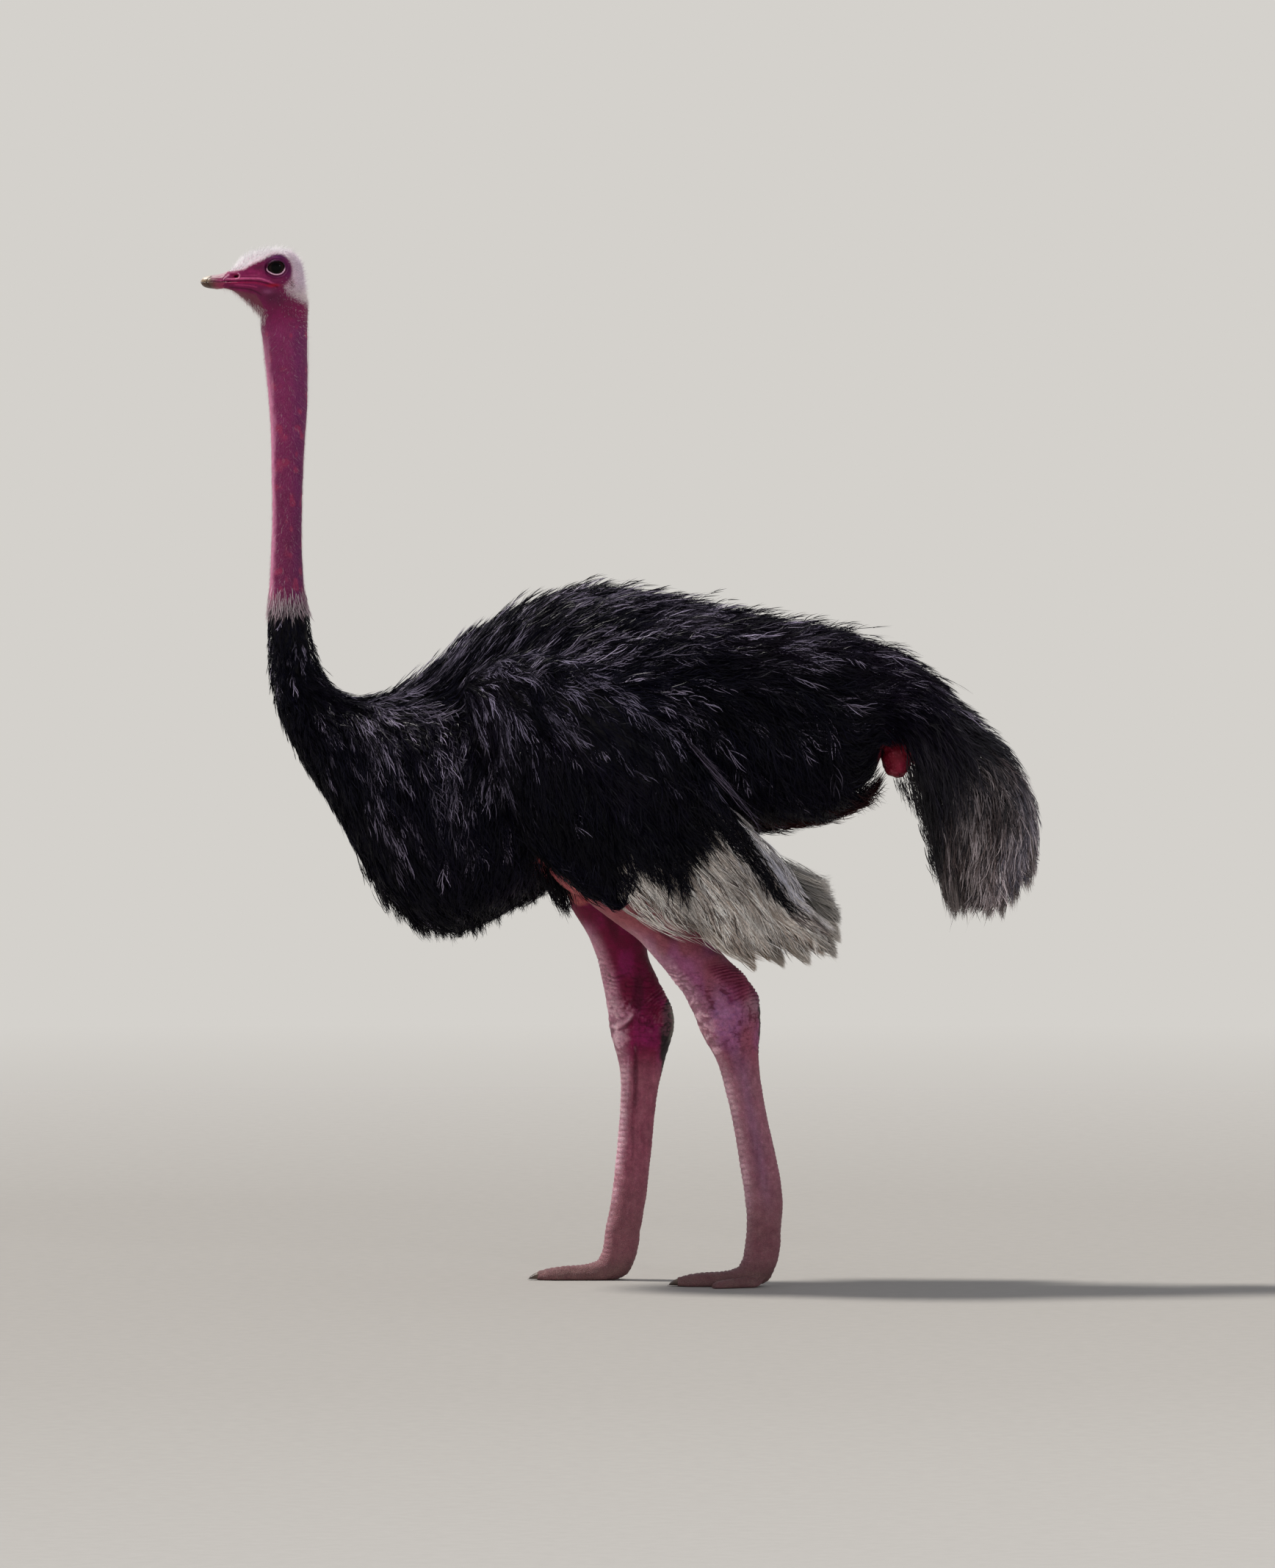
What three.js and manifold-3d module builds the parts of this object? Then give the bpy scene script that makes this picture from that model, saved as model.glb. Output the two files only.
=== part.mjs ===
// A life-size male Masai ostrich, standing in mid stride with its head up and its wings folded.
// Millimetres, +Z up. The bird faces -X, its left side is -Y, and it stands on z = 0.
import * as THREE from "three";
import { mergeVertices } from "three/addons/utils/BufferGeometryUtils.js";
import Module from "manifold-3d";

const wasm = await Module();
wasm.setup();

// Driving dimensions.
const GAP = 0.3; // left between touching pieces
const HIP_Y = 108; // each leg's distance from the middle plane
const EYE_RADIUS = 22;
const EYE_AT = [-749, 24, 2213]; // the right eye; the left one is its mirror image
const BILL_BASE_X = -836; // where the horny bill meets the face
const MOUTH_TIP = [-917, 2181]; // where the two halves of the bill meet at its tip, [x, z]
const MOUTH_BASE = [-836, 2183]; // and where they meet the face
const HEAD_Z = 2068; // the head ends and the neck begins
const MID_NECK_Z = 1775; // upper neck to middle neck
const COLLAR_Z = 1478; // bare neck to feathered neck
const HOCK_Z = [566, 578]; // height at which shank meets tarsus, [left, right]
const PAD_Z = 118; // height of the joint between tarsus and toes
const TOE_LENGTH = 188; // the big inner toe, without its claw
const OUTER_TOE_LENGTH = 122;
const CLAW_LENGTH = 44;

// Colours.
const PINK = 0xb0567c;
const BLACK = 0x15141a;
const PLUME = 0xb9b0a6;
const HORN = 0x8a7a66;
const EYE = 0x120d0c;
const CRIMSON = 0x9c1f35;

const skin = new THREE.MeshStandardMaterial({ color: PINK, roughness: 0.6, metalness: 0 });
const feather = new THREE.MeshStandardMaterial({ color: BLACK, roughness: 0.7, metalness: 0 });
const plume = new THREE.MeshStandardMaterial({ color: PLUME, roughness: 0.8, metalness: 0 });
const horn = new THREE.MeshStandardMaterial({ color: HORN, roughness: 0.4, metalness: 0 });
const eyeball = new THREE.MeshStandardMaterial({ color: EYE, roughness: 0.05, metalness: 0 });
const vent = new THREE.MeshStandardMaterial({ color: CRIMSON, roughness: 0.5, metalness: 0 });

// A row is one cross-section: its back or top edge, its front or bottom edge, both [x, z] in the
// section's own middle plane, then its half width. Lean makes the first edge the wider (above 0)
// or the narrower one (below 0).
const row = (back, front, width, lean = 0) => ({ back, front, width, lean });

// The smooth curve through one list of values, read at a share of the way along the rows.
const through = (values) =>
  new THREE.CatmullRomCurve3(
    values.map((v) => new THREE.Vector3(...v)),
    false,
    "catmullrom",
    0.5,
  );

// A closed body through the rows. Power 2 is an ellipse, and more is squarer. The middle plane
// stands at y = side, or follows sides, one for each row.
function loft(rows, { sides = 16, density = 1.5, power = 2, side = 0, grow = 0 } = {}) {
  const at = Array.isArray(side) ? side : rows.map(() => side);
  const backs = through(rows.map((r) => [r.back[0], 0, r.back[1]]));
  const fronts = through(rows.map((r) => [r.front[0], 0, r.front[1]]));
  const spans = through(rows.map((r, i) => [r.width, at[i], r.lean]));
  const rings = Math.round((rows.length - 1) * density) + 1;
  const squash = (v) => Math.sign(v) * Math.abs(v) ** (2 / power);
  const points = [];
  const middles = [];
  for (let k = 0; k < rings; k++) {
    const t = k / (rings - 1);
    const back = backs.getPoint(t);
    const front = fronts.getPoint(t);
    const { x: width, y: shift, z: lean } = spans.getPoint(t);
    const middle = back.clone().add(front).multiplyScalar(0.5);
    middle.y = shift;
    const half = back.clone().sub(front).multiplyScalar(0.5);
    half.setLength(half.length() + grow);
    middles.push(middle);
    for (let j = 0; j < sides; j++) {
      const angle = (2 * Math.PI * j) / sides;
      const up = squash(Math.cos(angle));
      const out = squash(Math.sin(angle)) * (width + grow) * (1 + lean * up);
      points.push(middle.clone().addScaledVector(half, up).add(new THREE.Vector3(0, out, 0)));
    }
  }
  const faces = [];
  const last = (rings - 1) * sides;
  for (let j = 0; j < sides; j++) {
    const next = (j + 1) % sides;
    for (let k = 0; k < rings - 1; k++) {
      const [a, b, c, d] = [k * sides + j, k * sides + next, (k + 1) * sides + j, (k + 1) * sides + next];
      faces.push(a, c, b, b, c, d);
    }
    faces.push(points.length, j, next);
    faces.push(points.length + 1, last + next, last + j);
  }
  points.push(middles[0], middles[rings - 1]);
  const geometry = new THREE.BufferGeometry().setFromPoints(points);
  geometry.setIndex(faces);
  return solid(geometry);
}

// A closed geometry as a solid that can be joined and cut, turned right side out if need be.
function solid(geometry) {
  const bare = geometry.clone();
  bare.deleteAttribute("normal");
  bare.deleteAttribute("uv");
  const merged = mergeVertices(bare, 1e-3);
  const build = (triVerts) =>
    new wasm.Manifold(
      new wasm.Mesh({
        numProp: 3,
        vertProperties: Float32Array.from(merged.attributes.position.array),
        triVerts,
      }),
    );
  const made = build(Uint32Array.from(merged.index.array));
  return made.volume() > 0 ? made : build(Uint32Array.from(merged.index.array).reverse());
}

// The part of a solid on the side of the line from one [x, z] point to another that lies to the
// left of its direction, seen with +X to the right and +Z up. It keeps half a gap off that line.
function beside(body, from, to) {
  const along = new THREE.Vector2(to[0] - from[0], to[1] - from[1]).normalize();
  const normal = [-along.y, 0, along.x];
  return body.trimByPlane(normal, normal[0] * from[0] + normal[2] * from[1] + GAP / 2);
}

const above = (body, z) => beside(body, [-1, z], [1, z]);
const below = (body, z) => beside(body, [1, z], [-1, z]);

// The largest piece of a cut solid, without the slivers that a cut can leave beside it.
const largest = (body) => body.decompose().sort((a, b) => b.volume() - a.volume())[0];

const bird = new THREE.Group();

// Adds a solid to the bird as one named mesh.
function add(name, body, material) {
  const { vertProperties, triVerts, numProp } = largest(body).getMesh();
  const geometry = new THREE.BufferGeometry();
  const positions = new Float32Array((vertProperties.length / numProp) * 3);
  for (let i = 0; i < positions.length / 3; i++) {
    positions.set(vertProperties.subarray(i * numProp, i * numProp + 3), 3 * i);
  }
  geometry.setAttribute("position", new THREE.BufferAttribute(positions, 3));
  geometry.setIndex(new THREE.BufferAttribute(triVerts, 1));
  geometry.computeVertexNormals();
  const mesh = new THREE.Mesh(geometry, material);
  mesh.name = name;
  bird.add(mesh);
}

// From the tip of the bill over the skull: each row runs from the crown to the chin or throat.
const HEAD = [
  row([-917, 2186], [-917, 2178], 4),
  row([-911, 2192], [-909, 2171], 12),
  row([-896, 2195], [-894, 2168], 19, -0.05),
  row([-875, 2198], [-875, 2166], 22, -0.12),
  row([-858, 2204], [-861, 2163], 25, -0.2),
  row([-845, 2217], [-846, 2156], 29, -0.22),
  row([-833, 2235], [-834, 2146], 33, -0.2),
  row([-814, 2250], [-819, 2133], 38, -0.1),
  row([-792, 2257], [-804, 2118], 43, 0),
  row([-766, 2261], [-795, 2108], 48, 0.06),
  row([-741, 2261], [-789, 2102], 50, 0.08),
  row([-716, 2252], [-787, 2097], 48, 0.06),
  row([-699, 2235], [-787, 2092], 45, 0),
  row([-690, 2208], [-787, 2086], 43),
  row([-684, 2175], [-787, 2079], 42),
  row([-681, 2135], [-787, 2071], 42),
  row([-681, 2090], [-786, 2062], 43),
];
// Down the neck: each row runs from the nape to the throat.
const NECK = [
  row([-680, 2035], [-784, 2035], 43),
  row([-680, 1975], [-777, 1975], 40),
  row([-682, 1910], [-770, 1910], 36),
  row([-687, 1840], [-766, 1840], 33),
  row([-692, 1750], [-765, 1750], 30),
  row([-694, 1660], [-764, 1660], 29),
  row([-694, 1590], [-767, 1590], 30),
  row([-690, 1525], [-770, 1523], 33),
  row([-682, 1468], [-773, 1458], 39),
  row([-670, 1408], [-775, 1382], 45),
  row([-653, 1352], [-770, 1305], 54),
  row([-629, 1311], [-749, 1226], 67),
  row([-594, 1289], [-709, 1148], 86),
  row([-550, 1284], [-656, 1068], 110),
];
// Along the trunk: each row runs from the back to the breast or belly.
const TRUNK = [
  row([-506, 1298], [-600, 978], 140),
  row([-459, 1329], [-542, 872], 168, -0.06),
  row([-406, 1363], [-464, 795], 194, -0.08),
  row([-344, 1416], [-381, 763], 214, -0.08),
  row([-267, 1462], [-288, 795], 228, -0.08),
  row([-171, 1509], [-184, 845], 238, -0.08),
  row([-75, 1526], [-80, 877], 242, -0.06),
  row([21, 1522], [21, 908], 242, -0.05),
  row([133, 1501], [133, 941], 235),
  row([245, 1476], [245, 974], 220),
  row([341, 1457], [341, 992], 200, 0.04),
  row([421, 1448], [424, 1004], 176, 0.04),
  row([485, 1436], [501, 1028], 146),
  row([533, 1416], [552, 1068], 112),
  row([566, 1384], [578, 1122], 74),
  row([588, 1335], [592, 1190], 34),
];
// The drooping tail: each row runs from its upper to its under side, and the last is its tip.
const TAIL = [
  row([520, 1412], [535, 1220], 82),
  row([605, 1388], [573, 1128], 98),
  row([677, 1338], [614, 1090], 112),
  row([741, 1282], [642, 1060], 124),
  row([805, 1227], [656, 1021], 132),
  row([861, 1165], [667, 976], 136),
  row([898, 1093], [677, 928], 135),
  row([915, 1021], [686, 884], 130),
  row([914, 949], [699, 844], 118),
  row([893, 877], [727, 815], 98),
  row([851, 818], [768, 796], 62),
];
// The folded wing: each row runs from its upper and rear edge to its lower and front edge.
const WING = [
  row([-345, 1335], [-358, 1275], 16),
  row([-245, 1386], [-298, 1162], 44),
  row([-128, 1376], [-244, 1048], 60),
  row([-14, 1335], [-176, 924], 66),
  row([93, 1253], [-91, 840], 63),
  row([173, 1157], [5, 800], 57),
  row([245, 1061], [98, 765], 52),
  row([322, 976], [188, 738], 48),
  row([396, 902], [276, 694], 43),
  row([450, 842], [366, 688], 32),
  row([475, 770], [446, 703], 14),
];
// The wing's own distance from the middle plane, row by row.
const WING_Y = [158, 206, 232, 240, 240, 236, 228, 218, 208, 200, 196];

// The two legs, from inside the trunk down to the joint with the toes: each row runs from the rear
// to the front edge. The left one is pushed back in the stride, and the right one leads.
const THIGH_WIDTH = [70, 68, 62, 53, 47, 44];
const HOCK_WIDTH = [46, 47, 42, 34];
const TARSUS_WIDTH = [28, 26, 26, 27, 30, 34, 37];
const LEG_WIDTH = [...THIGH_WIDTH, ...HOCK_WIDTH, ...TARSUS_WIDTH];
const LEFT_LEG = [
  [[85, 1037], [-168, 955]],
  [[125, 917], [-122, 870]],
  [[157, 826], [-42, 810]],
  [[189, 760], [38, 752]],
  [[229, 713], [93, 688]],
  [[267, 678], [133, 638]],
  [[297, 636], [158, 584]],
  [[303, 590], [174, 544]],
  [[300, 545], [194, 512]],
  [[297, 497], [209, 482]],
  [[303, 445], [221, 442]],
  [[310, 397], [234, 390]],
  [[322, 340], [245, 332]],
  [[335, 284], [255, 270]],
  [[346, 228], [266, 208]],
  [[350, 174], [271, 156]],
  [[346, 126], [270, 108]],
];
const RIGHT_LEG = [
  [[53, 1005], [-172, 950]],
  [[61, 909], [-143, 868]],
  [[56, 829], [-108, 808]],
  [[50, 765], [-75, 757]],
  [[58, 705], [-54, 704]],
  [[85, 648], [-41, 642]],
  [[109, 600], [-31, 590]],
  [[117, 560], [-29, 549]],
  [[105, 514], [-17, 508]],
  [[91, 470], [-6, 468]],
  [[81, 427], [-2, 427]],
  [[72, 360], [-5, 360]],
  [[66, 298], [-10, 298]],
  [[60, 240], [-16, 240]],
  [[54, 186], [-23, 184]],
  [[48, 146], [-30, 142]],
  [[42, 112], [-38, 104]],
];

const SIDES = [
  { name: "left", sign: -1, leg: LEFT_LEG, hockZ: HOCK_Z[0], footX: 308 },
  { name: "right", sign: 1, leg: RIGHT_LEG, hockZ: HOCK_Z[1], footX: 2 },
];

// Bill, head, neck and trunk are one smooth body, parted afterwards.
const AXIS_OPTIONS = { sides: 20, density: 1.25, power: 2.15 };
const axisRows = [...HEAD, ...NECK, ...TRUNK];
const axis = loft(axisRows, AXIS_OPTIONS);
const axisHole = loft(axisRows, { ...AXIS_OPTIONS, grow: GAP });

// Neck and trunk part along a trunk row's own line.
const [seamBack, seamFront] = [TRUNK[0].back, TRUNK[0].front];

function eyeSphere(sign, radius) {
  const sphere = new THREE.SphereGeometry(radius, 16, 10);
  sphere.translate(EYE_AT[0], sign * EYE_AT[1], EYE_AT[2]);
  return solid(sphere);
}

function addHead() {
  const face = above(axis, HEAD_Z);
  const baseTop = [BILL_BASE_X, 2400];
  const baseFoot = [BILL_BASE_X, 2000];
  const bill = beside(face, baseFoot, baseTop);
  let head = beside(face, baseTop, baseFoot);
  for (const { name, sign } of SIDES) {
    head = head.subtract(eyeSphere(sign, EYE_RADIUS + GAP));
    add(`eye_${name}`, eyeSphere(sign, EYE_RADIUS), eyeball);
  }
  add("head", head, skin);
  add("bill_upper", beside(bill, MOUTH_TIP, MOUTH_BASE), horn);
  add("bill_lower", beside(bill, MOUTH_BASE, MOUTH_TIP), horn);
}

function addNeckAndTrunk() {
  const column = below(axis, HEAD_Z);
  const neck = beside(column, seamFront, seamBack);
  add("neck_upper", above(neck, MID_NECK_Z), skin);
  add("neck_middle", above(below(neck, MID_NECK_Z), COLLAR_Z), skin);
  add("neck_lower", below(neck, COLLAR_Z), feather);
  add("trunk", beside(column, seamBack, seamFront), feather);
}

function legRows(points) {
  return points.map(([back, front], i) => row(back, front, LEG_WIDTH[i]));
}

const LEG_OPTIONS = { sides: 14, density: 1, power: 2.1 };
const legSolid = (side, grow) =>
  loft(legRows(side.leg), { ...LEG_OPTIONS, side: side.sign * HIP_Y, grow });

function addTail() {
  const options = { sides: 18, density: 1.2, power: 2.2 };
  const tail = loft(TAIL, options).subtract(axisHole);
  const lobe = [
    row([598, 1205], [622, 1205], 9),
    row([588, 1172], [633, 1168], 20),
    row([586, 1140], [634, 1136], 22),
    row([592, 1112], [626, 1110], 14),
  ];
  const lobeHole = loft(lobe, { sides: 12, grow: GAP });
  add("tail", tail.subtract(lobeHole), feather);
  add("vent", loft(lobe, { sides: 12 }).subtract(axisHole), vent);
}

function addWings() {
  for (const side of SIDES) {
    const options = { sides: 16, density: 1.2, power: 2.3, side: WING_Y.map((y) => side.sign * y) };
    const wing = largest(loft(WING, options).subtract(axisHole).subtract(legSolid(side, GAP)));
    const [plumeTop, plumeFoot] = [[222, 1085], [-24, 790]];
    add(`wing_${side.name}`, beside(wing, plumeFoot, plumeTop), feather);
    add(`wing_plumes_${side.name}`, beside(wing, plumeTop, plumeFoot), plume);
  }
}

// One toe, from its joint with the tarsus down and forward to its blunt tip: each row runs from the
// rear or under side to the upper side, for the big toe. The other toe is the same shape, smaller.
const TOE = [
  row([36, 134], [-38, 122], 34),
  row([38, 97], [-41, 92], 32),
  row([31, 52], [-46, 62], 30),
  row([12, 12], [-56, 43], 29),
  row([-36, -8], [-72, 36], 29),
  row([-80, -8], [-94, 32], 27),
  row([-118, -8], [-121, 31], 28),
  row([-150, -8], [-150, 28], 27),
  row([-174, -6], [-174, 23], 22),
  row([-188, 1], [-188, 14], 11),
];
const INNER_TOE = { size: TOE_LENGTH / 188, yaw: 3, out: 0 };
const OUTER_TOE = { size: OUTER_TOE_LENGTH / 188, yaw: -25, out: 14 };

function turned(body, [x, y], degrees) {
  return body.translate([-x, -y, 0]).rotate([0, 0, degrees]).translate([x, y, 0]);
}

function toe(side, { size, yaw, out }, grow = 0) {
  const rows = TOE.map(({ back, front, width }) =>
    row(
      [back[0] * size + side.footX, back[1] * size],
      [front[0] * size + side.footX, front[1] * size],
      width * size,
    ),
  );
  const y = side.sign * (HIP_Y + out);
  const shape = loft(rows, { sides: 12, density: 1, power: 2.3, side: y, grow });
  return turned(shape, [side.footX, y], side.sign * yaw).trimByPlane([0, 0, 1], 0);
}

function claw(side, { size, yaw, out }, grow = 0) {
  const tip = side.footX - 188 * size;
  const at = (share) => tip + (CLAW_LENGTH * 0.55 - CLAW_LENGTH * share) * size;
  const rows = [
    row([at(0), 3], [at(0), 22 * size], 10 * size),
    row([at(0.4), 2], [at(0.4), 21 * size], 12 * size),
    row([at(0.75), 1], [at(0.75), 15 * size], 8.5 * size),
    row([at(1), 1], [at(1), 6 * size], 3 * size),
  ];
  const y = side.sign * (HIP_Y + out);
  const shape = loft(rows, { sides: 10, density: 1.5, power: 2.2, side: y, grow });
  return turned(shape, [side.footX, y], side.sign * yaw);
}

function addLegs() {
  for (const side of SIDES) {
    const leg = largest(legSolid(side, 0).subtract(axisHole));
    add(`shank_${side.name}`, above(leg, side.hockZ), skin);
    add(`tarsus_${side.name}`, above(below(leg, side.hockZ), PAD_Z), skin);
    const inner = below(toe(side, INNER_TOE), PAD_Z);
    const innerHole = toe(side, INNER_TOE, GAP);
    add(`toe_inner_${side.name}`, inner.subtract(claw(side, INNER_TOE, GAP)), skin);
    add(`toe_outer_${side.name}`, toe(side, OUTER_TOE).subtract(innerHole), skin);
    add(`claw_${side.name}`, claw(side, INNER_TOE), horn);
  }
}

addHead();
addNeckAndTrunk();
addTail();
addWings();
addLegs();

// The origin is the middle of the bird's own box, at ground level.
const box = new THREE.Box3().setFromObject(bird);
const centre = box.getCenter(new THREE.Vector3());
bird.position.set(-centre.x, -centre.y, -box.min.z);

export default bird;
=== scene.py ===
"""A still, life-size model of a male Masai ostrich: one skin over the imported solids, with its bill,
eyes and claws, under plumage made of thin tapered strands. Lengths are millimetres until a mesh is
made. The bird faces -X, its left side is -Y, and it stands on z = 0."""

import math

import bpy
import numpy as np
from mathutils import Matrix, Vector
from mathutils.bvhtree import BVHTree
from mathutils.kdtree import KDTree


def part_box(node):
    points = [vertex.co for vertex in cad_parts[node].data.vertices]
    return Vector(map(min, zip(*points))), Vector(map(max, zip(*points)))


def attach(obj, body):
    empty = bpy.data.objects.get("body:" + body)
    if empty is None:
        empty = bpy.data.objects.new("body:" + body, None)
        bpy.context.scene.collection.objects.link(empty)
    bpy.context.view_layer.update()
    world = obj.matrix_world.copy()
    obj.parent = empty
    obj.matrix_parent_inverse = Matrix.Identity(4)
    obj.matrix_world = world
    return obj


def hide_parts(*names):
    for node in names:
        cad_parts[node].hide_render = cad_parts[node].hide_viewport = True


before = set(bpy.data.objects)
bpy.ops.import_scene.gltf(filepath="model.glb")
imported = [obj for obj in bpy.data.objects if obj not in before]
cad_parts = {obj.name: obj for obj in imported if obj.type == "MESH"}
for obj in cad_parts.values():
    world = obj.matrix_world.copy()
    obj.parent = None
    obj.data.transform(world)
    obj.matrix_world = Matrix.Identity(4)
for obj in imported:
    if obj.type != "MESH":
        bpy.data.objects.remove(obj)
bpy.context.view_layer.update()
rng = np.random.default_rng(11)

SIDES = (("left", -1), ("right", 1))
COAT_SHARE = 1.0  # share of the strands that are made
COAT_WIDTH = 1.0  # and how much wider each is then

# ------------------------------------------------------------------ numbers


def srgb(*values):
    c = np.array(values) / 255
    return np.where(c <= 0.04045, c / 12.92, ((c + 0.055) / 1.055) ** 2.4)


def ease(low, high, value):
    t = np.clip((value - low) / (high - low), 0, 1)
    return t * t * (3 - 2 * t)


def bell(distance, width):
    return np.exp(-((distance / width) ** 2))


def spot(x, z, cx, cz, rx, rz):
    return bell(np.hypot((x - cx) / rx, (z - cz) / rz), 1)


def unit(v):
    return v / np.maximum(np.linalg.norm(v, axis=-1, keepdims=True), 1e-9)


def mix(a, b, share):
    return a + (b - a) * share


def along_line(x, line):
    """The height of a broken line in side view."""
    return np.interp(x, *zip(*line))


def repeated(values, steps):
    """Each strand's value, at all its steps."""
    return np.repeat(values[:, None], steps, 1)


def curve(knots, values, at):
    """The smooth curve through values at rising knots, read at other places."""
    knots, values, at = np.asarray(knots, float), np.asarray(values), np.asarray(at, float)
    slopes = np.gradient(values, knots, axis=0)
    i = np.clip(np.searchsorted(knots, at, side="right") - 1, 0, len(knots) - 2)
    span = knots[i + 1] - knots[i]
    t = np.clip((at - knots[i]) / span, 0, 1)
    grow = at.shape + (1,) * (values.ndim - 1)
    t, span = t.reshape(grow), span.reshape(grow)
    return (
        (2 * t**3 - 3 * t**2 + 1) * values[i]
        + (t**3 - 2 * t**2 + t) * span * slopes[i]
        + (3 * t**2 - 2 * t**3) * values[i + 1]
        + (t**3 - t**2) * span * slopes[i + 1]
    )


def noise(points, scale, seed=0):
    """Smooth noise from -1 to 1 over places in space, with bumps about one scale across."""
    q = points / scale + seed * 17.31
    cell = np.floor(q).astype(np.int64)
    f = q - cell
    f = f * f * (3 - 2 * f)
    total = 0
    for corner in range(8):
        d = np.array([corner & 1, corner >> 1 & 1, corner >> 2])
        k = cell + d
        n = k[..., 0] * 73856093 ^ k[..., 1] * 19349663 ^ k[..., 2] * 83492791 ^ seed * 2654435
        n = (n ^ (n >> 13)) * 1274126177 & 0x7FFFFFFF
        weight = np.prod(np.where(d, f, 1 - f), axis=-1)
        total = total + weight * ((n ^ (n >> 15)) & 0xFFFF)
    return total / 32767.5 - 1


# ------------------------------------------------------------------ surfaces


def node_box(name):
    """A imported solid's lowest and highest corner."""
    return (np.array(corner) * 1000 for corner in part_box(name))


def solids(names):
    """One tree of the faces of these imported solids."""
    points, faces = [], []
    for name in names:
        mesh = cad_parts[name].data
        start = len(points)
        points += [v.co * 1000 for v in mesh.vertices]
        faces += [[start + i for i in p.vertices] for p in mesh.polygons]
    return BVHTree.FromPolygons(points, faces)


def reach(tree, origin, direction, outermost=False):
    """How far the solids go from a point inside them, past the thin partings between them, or out
    to the last of them."""
    most_hits, parting, nudge = 12, 9, 1e-3
    hits, start, gone = [], origin, 0.0
    while len(hits) < most_hits:
        found = tree.ray_cast(start, direction)
        if found[0] is None:
            break
        gone += found[3] + nudge
        hits.append(gone)
        start = found[0] + direction * nudge
    if outermost:
        return hits[-1] if hits else np.nan
    i = 0
    while i + 1 < len(hits) and hits[i + 1] - hits[i] < parting:
        i += 2
    return hits[i] if i < len(hits) else np.nan


def filled(table):
    """The table with each gap and stray value in its columns bridged along the spine."""
    rows = np.arange(len(table))
    for column in table.T:
        bad = np.isnan(column)
        for i in rows:
            near = column[max(i - 3, 0) : i + 4]
            usual = np.nan if np.isnan(near).all() else np.nanmedian(near)
            bad[i] |= not abs(column[i] - usual) < 0.22 * usual + 2
        if bad.any() and not bad.all():
            column[bad] = np.interp(rows[bad], rows[~bad], column[~bad])
    return table


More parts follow.
